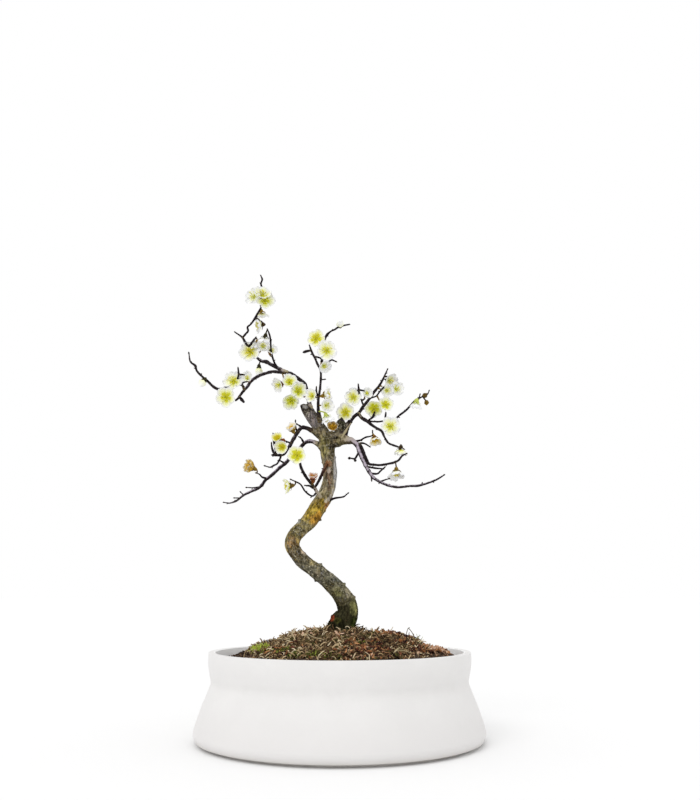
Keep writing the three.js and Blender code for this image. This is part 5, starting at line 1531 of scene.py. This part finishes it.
DORMANT = {
    "thickest_wood": 1.75, "thickest_tip": 1.3, "first": (5, 9), "gap": (7, 13), "lean": (0.5, 1.0),
    "length": (1.5, 2.6), "slender": 0.3, "rooted": 0.6, "tone": (0, 0.25),
}
TIP_BUD = {"length": 3.0, "radius": 0.85, "tone": (0, 0.2)}


def make_dormant_buds():
    """Small dark buds set alternately along every thin branch, and one at its tip."""
    shape = Shape()
    draw = random.Random(17)
    for route in (*LIMBS.values(), *TWIGS.values()):
        rows = smooth_rows(route, 1.0)
        tangents, across, up = turning_frames(rows[:, :3])
        i, turn = draw.randint(*DORMANT["first"]), TURN * draw.random()
        while i < len(rows) - 2:
            if rows[i, 3] < DORMANT["thickest_wood"]:
                out = math.cos(turn) * across[i] + math.sin(turn) * up[i]
                axis = unit(tangents[i] * draw.uniform(*DORMANT["lean"]) + out)
                size = draw.uniform(*DORMANT["length"])
                foot = rows[i, :3] + out * rows[i, 3] * DORMANT["rooted"]
                bud = egg(foot, axis, size, DORMANT["slender"] * size, 6, 5)
                shape.add(*bud, tint=draw.uniform(*DORMANT["tone"]))
            i += draw.randint(*DORMANT["gap"])
            turn += GOLDEN_TURN
        if rows[-1, 3] < DORMANT["thickest_tip"]:
            bud = egg(rows[-1, :3] - tangents[-1], tangents[-1], TIP_BUD["length"], TIP_BUD["radius"], 7, 6)
            shape.add(*bud, tint=draw.uniform(*TIP_BUD["tone"]))
    add_piece("dormant_buds", shape, strand_material("bud_scale", BUD_TONES, 0.6))


def wood_finder():
    """A finder of the wood's centre line place that is nearest to another place."""
    routes = (TRUNK, *LIMBS.values(), *TWIGS.values())
    tree = tree_of(np.vstack([smooth_rows(route, 1.5) for route in routes]))
    return lambda place: np.array(tree.find(place)[0])


# Length and radius of a brown bud and of its scales, as shares of its size.
BUD_SHARES, SCALE_SHARES = (1.15, 0.46), (0.62, 0.24)
SCALES = {"count": 4, "turn": 1.57, "lean": 0.55, "tone": 0.8}
SPUR = {"radius": 0.8, "reach": 0.3, "tone": 0.05}


def make_brown_buds(nearest_wood):
    """The fat scaly buds, on short spurs."""
    shape = Shape()
    for x, y, z, size, yaw, pitch, red in BROWN_BUDS:
        place, axis = np.array((x, y, z), float), heading(yaw, pitch)
        length, radius = (share * size for share in BUD_SHARES)
        shape.add(*egg(place, axis, length, radius, 20, 14, 0.1), tint=red)
        for k in range(SCALES["count"]):
            spin = k * SCALES["turn"]
            way = unit(axis + SCALES["lean"] * standing(axis) @ (math.cos(spin), math.sin(spin), 0))
            length, radius = (share * size for share in SCALE_SHARES)
            shape.add(*egg(place, way, length, radius), tint=red * SCALES["tone"])
        ends = nearest_wood(place), place + axis * SPUR["reach"] * size
        spur = np.array([(*end, SPUR["radius"]) for end in ends])
        shape.add(*skin(spur, 7), tint=SPUR["tone"])
    add_piece("brown_buds", shape, strand_material("brown_bud", BUD_TONES, 0.6))


# ---------------------------------------------------------------- blossoms

# A petal's half width from its root to its tip, and its notch and ruffles by their share of its length.
PETAL_OUTLINE = [[0, 0.15, 0.35, 0.6, 0.8, 0.93, 1], [0.2, 0.36, 0.68, 1.0, 1.0, 0.78, 0.52]]
NOTCH = {"depth": 0.075, "width": 0.22, "round_end": 0.1}
# Each ruffle as [height, power along the petal, waves, phases].
RUFFLES = [[0.05, 2, 3.4, 1], [0.028, 3, 9, 2]]
TIP_DROOP = 0.1
PETAL_TWIST = 0.13


def spun(angle):
    """The turn, as a matrix, by an angle round +Z."""
    c, s = math.cos(angle), math.sin(angle)
    return np.array(((c, -s, 0), (s, c, 0), (0, 0, 1)))


MODEL_STAMENS = 5  # the model draws once for each of a blossom's solid stamens


def model_draws(seed):
    """The model's own row of draws, so that each blossom is turned as its solid is."""
    state = seed
    while True:
        state = (state * 1664525 + 1013904223) % 2**32
        yield state / 2**32


def petal_surface(length, tilt, phase):
    """The middle of a petal that grows along +X from the heart and opens towards +Z."""

    def surface(c, s):
        notch = NOTCH["depth"] * bump(c, NOTCH["width"]) + NOTCH["round_end"] * c * c
        along = length * s * (1 - notch * s**3)
        side = PETALS["half_width"] * length * np.interp(s, *PETAL_OUTLINE) * c
        rise = along * s * math.sin(tilt) + PETALS["cup"] * along * np.abs(c) ** 1.6 + PETAL_TWIST * side
        for height, power, waves, phases in RUFFLES:
            rise = rise + height * length * s**power * np.sin(waves * c + phases * phase)
        rise = rise - TIP_DROOP * length * np.clip(s - 0.75, 0, 1) * math.cos(tilt)
        return np.stack([along * math.cos(tilt), side, rise], -1)

    return surface


def add_petals(shape, bloom, draws, draw, heart):
    """Five cupped and notched petals. Returns the blossom's place and its turn."""
    x, y, z, diameter, yaw, pitch, openness = bloom
    warm, spread = heart
    flat_tilt, closed_tilt, stray = (PETALS[key] for key in ("flat_tilt", "closed_tilt", "tilt_stray"))
    shortest, longer = PETALS["length"]
    leaves = []
    for k in range(PETALS["count"]):
        tilt = closed_tilt + (flat_tilt - closed_tilt) * openness - stray + 2 * stray * next(draws)
        tilt = math.radians(tilt)
        length = diameter / 2 / max(PETALS["least_cosine"], math.cos(tilt))
        length = length * (shortest + longer * next(draws))
        surface = petal_surface(length, tilt, TURN * draw.random())
        vertices, faces, along, side = blade(surface, *PETALS["net"], PETALS["thickness"])
        leaves.append((vertices @ spun((k + 0.5) * TURN / PETALS["count"]).T, faces, along, side))
    for _ in range(MODEL_STAMENS):
        next(draws)
    turn = standing(heading(yaw, pitch), math.pi * next(draws))
    place = np.array((x, y, z), float)
    for vertices, faces, along, side in leaves:
        shape.add(vertices @ turn.T + place, faces, along=along, side=side, warm=warm, spread=spread)
    return place, turn


STAMENS = {
    "crowding": 0.95, "least": 3, "lean": (4, 46), "stray": 0.2, "length": (0.22, 0.34),
    "radius": 0.15, "sides": 3, "points": (0, 0.4, 0.75, 1), "spread": 0.9, "sunk": 0.3,
}
ANTHER = {"length": 1.15, "radius": 0.46, "sunk": 0.3, "tumble": 0.4}


def add_stamens(shape, diameter, openness, place, turn, draw, warm):
    """A spray of bent filaments, each with its anther."""
    stray = STAMENS["stray"]
    for k in range(int(STAMENS["crowding"] * diameter) + STAMENS["least"]):
        lean = math.radians(draw.uniform(*STAMENS["lean"])) * (0.3 + 0.7 * openness)
        angle = k * GOLDEN_TURN + draw.uniform(-stray, stray)
        length = diameter * draw.uniform(*STAMENS["length"])
        out = np.array((math.cos(angle), math.sin(angle), 0))
        rows = []
        for t in STAMENS["points"]:
            bent = lean * (0.6 + 0.4 * t)
            reach = STAMENS["spread"] * openness + length * t * math.sin(bent)
            rise = length * t * math.cos(bent) - STAMENS["sunk"]
            rows.append((*(out * reach + (0, 0, rise)), STAMENS["radius"]))
        rows = np.array(rows)
        vertices, faces = skin(rows, STAMENS["sides"])
        shape.add(vertices @ turn.T + place, faces, anther=0, warm=warm)
        tip = rows[-1, :3]
        axis = unit(tip - rows[-2, :3] + scatter(draw, ANTHER["tumble"]))
        vertices, faces = egg(tip - ANTHER["sunk"] * axis, axis, ANTHER["length"], ANTHER["radius"], 5, 4)
        shape.add(vertices @ turn.T + place, faces, anther=1, warm=warm)


# The calyx's cup as [level, radius], and the thickness of its stalk at the wood, the bend and the cup.
CUP = [(-4.6, 0.75), (-4.0, 1.1), (-3.2, 1.75), (-2.2, 2.15), (-1.2, 2.2), (-0.3, 1.9), (0, 1.2)]
STALK_FOOT, STALK_ROOT, STALK_SAG = 4.2, 6, 0.8
STALK_RADII, STALK_TONE = (0.95, 0.7, 0.8), 0.6
CUP_SIDES, STALK_SIDES = 12, 7
SEPALS = {
    "count": 5, "half_width": 1.35, "reach": 1.2, "thickness": 0.35, "length": 2.2, "growth": 0.13,
    "closed_tilt": 66, "opening": 62, "sunk": 1.0, "curl": 0.2,
}


def sepal_surface(length, tilt):
    """The middle of a sepal that grows along +X from the cup's rim."""

    def surface(c, s):
        half = SEPALS["half_width"] * np.sin(math.pi * (0.22 + 0.74 * s)) * c
        out = SEPALS["reach"] + length * s * math.cos(tilt)
        root = -HEART_DEPTH - SEPALS["sunk"]
        rise = root + length * s * math.sin(tilt) * s + SEPALS["curl"] * np.abs(c) * s
        return np.stack([out, half, rise], -1)

    return surface


def add_calyx(shape, place, turn, diameter, openness, nearest_wood, tint):
    """The cup behind a blossom, its five sepals and the stalk back to the wood."""
    axis = turn @ (0, 0, 1)
    rows = np.array([(*(place + axis * (level - HEART_DEPTH)), radius) for level, radius in CUP])
    shape.add(*skin(rows, CUP_SIDES, tip=0.0), tint=tint)
    foot = place - axis * (HEART_DEPTH + STALK_FOOT)
    root = nearest_wood(place - axis * (HEART_DEPTH + STALK_ROOT))
    bend = (foot + root) / 2 - axis * STALK_SAG
    stalk = [(*point, radius) for point, radius in zip((root, bend, foot), STALK_RADII)]
    shape.add(*skin(smooth_rows(stalk, 1.0), STALK_SIDES), tint=tint * STALK_TONE)
    tilt = math.radians(SEPALS["closed_tilt"] - SEPALS["opening"] * openness)
    surface = sepal_surface(SEPALS["length"] + SEPALS["growth"] * diameter, tilt)
    for k in range(SEPALS["count"]):
        vertices, faces, _, _ = blade(surface, 4, 6, SEPALS["thickness"])
        spin = spun(k * TURN / SEPALS["count"])
        shape.add(vertices @ (turn @ spin).T + place, faces, tint=tint)


def owner_finder(prefix):
    """Finds the model's node, of those whose name starts so, that has its surface nearest to a place."""
    names = [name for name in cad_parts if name.startswith(prefix)]
    clouds = {name: read_vectors(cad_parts[name].data.vertices, "co") / MM for name in names}
    return lambda place: min(names, key=lambda name: np.linalg.norm(clouds[name] - place, axis=1).min())


BUD_CUP = {"share": 0.6, "openness": 0.25}  # a white bud has the calyx of a smaller, nearly closed blossom


def make_blossoms(nearest_wood, petal):
    """Every blossom: petals in a piece for each of the model's nodes, then stamens and calyxes."""
    owner = owner_finder("bloom_")
    petals, stamens, calyxes = {}, Shape(), Shape()
    draws, draw = model_draws(23), random.Random(8)
    for i, bloom in enumerate(BLOOMS):
        *middle, diameter, _, _, openness = bloom
        heart = HEARTS.get(i, PLAIN_HEART)
        shape = petals.setdefault(owner(np.array(middle)), Shape())
        place, turn = add_petals(shape, bloom, draws, draw, heart)
        add_stamens(stamens, diameter, openness, place, turn, draw, heart[0])
        add_calyx(calyxes, place, turn, diameter, openness, nearest_wood, CALYXES.get(i, PLAIN_CALYX))
    for node, shape in petals.items():
        add_piece(node.replace("bloom", "petals"), shape, petal, [node])
    add_piece("stamens", stamens, stamen_material())
    for x, y, z, diameter, yaw, pitch in WHITE_BUDS:
        place, turn = np.array((x, y, z), float), standing(heading(yaw, pitch))
        diameter = BUD_CUP["share"] * diameter
        add_calyx(calyxes, place, turn, diameter, BUD_CUP["openness"], nearest_wood, BUD_CALYX)
    add_piece("calyxes", calyxes, calyx_material())


# A white bud's length and radius as shares of its diameter, the net and folds of its skin, and its
# heart's colour, as a blossom's.
WHITE_BUD = {"length": 1.15, "radius": 0.44, "sides": 30, "rings": 18, "lobes": 0.07}
BUD_HEART = {"warm": 0.1, "spread": -0.08}


def make_white_buds(petal):
    """The closed white buds, of folded petals that are greenish at their root."""
    owner = owner_finder("bud_")
    for x, y, z, diameter, yaw, pitch in WHITE_BUDS:
        place, axis = np.array((x, y, z), float), heading(yaw, pitch)
        length, radius = WHITE_BUD["length"] * diameter, WHITE_BUD["radius"] * diameter
        net = {key: WHITE_BUD[key] for key in ("sides", "rings", "lobes")}
        vertices, faces = egg(place - HEART_DEPTH * axis, axis, length, radius, **net)
        along = ((vertices - place) @ axis / length) * 0.7 + 0.3
        shape = Shape()
        shape.add(vertices, faces, along=along, side=0.0, **BUD_HEART)
        node = owner(place + axis * diameter / 2)
        add_piece(node.replace("bud", "white_bud"), shape, petal, [node])


# ---------------------------------------------------------------- stage, light and camera

FLOOR_HALF = 30.0
FLOOR_TONES = [(0.9, 0.9, 0.9), (0.92, 0.92, 0.92)]
KEY_ENERGY, KEY_ANGLE, KEY_WAY = 0.55, math.radians(28), (0.52, 0.78, -0.85)
CAMERA_PLACE, CAMERA_TILT = (0.0102, -0.85, 0.1425), math.radians(98)
LENS, SENSOR_WIDTH, SHIFT_UP = 37.02, 36, 0.1


def make_stage():
    """A pale floor, a white sky and soft light from the upper left front."""
    corners = [(-1, -1), (1, -1), (1, 1), (-1, 1)]
    mesh = bpy.data.meshes.new("floor")
    mesh.from_pydata([(FLOOR_HALF * x, FLOOR_HALF * y, 0) for x, y in corners], [], [(0, 1, 2, 3)])
    paint = Paint("pale_floor", 0.9, 0.0)
    mesh.materials.append(paint.finish(paint.mix(paint.noise(900), *FLOOR_TONES)))
    linked("floor", mesh)
    scene = bpy.context.scene
    scene.view_settings.view_transform = "Standard"
    scene.world = bpy.data.worlds.new("white_studio")
    scene.world.use_nodes = True
    background = scene.world.node_tree.nodes["Background"]
    background.inputs["Color"].default_value = (1, 1, 1, 1)
    background.inputs["Strength"].default_value = 1.0
    key = bpy.data.lights.new("key", "SUN")
    key.energy, key.angle = KEY_ENERGY, KEY_ANGLE
    lamp = linked("key", key)
    lamp.rotation_euler = Vector(KEY_WAY).to_track_quat("-Z", "Y").to_euler()


def make_camera():
    """Just above the pot's rim, tipped up a little, with the frame shifted up to hold the tree."""
    data = bpy.data.cameras.new("camera")
    data.lens, data.sensor_width, data.shift_y = LENS, SENSOR_WIDTH, SHIFT_UP
    camera = linked("camera", data)
    camera.location = CAMERA_PLACE
    camera.rotation_euler = (CAMERA_TILT, 0, 0)
    bpy.context.scene.camera = camera


make_camera()
make_stage()
make_pot()
finish_drainage_mesh()
make_soil()
make_moss_bed()
make_fibres()
make_green_moss()
make_crumbs()
make_litter()
make_sprigs()
make_trunk()
make_limbs()
make_twigs()
make_dormant_buds()
find_wood = wood_finder()
make_brown_buds(find_wood)
white_petal = petal_material()
make_blossoms(find_wood, white_petal)
make_white_buds(white_petal)
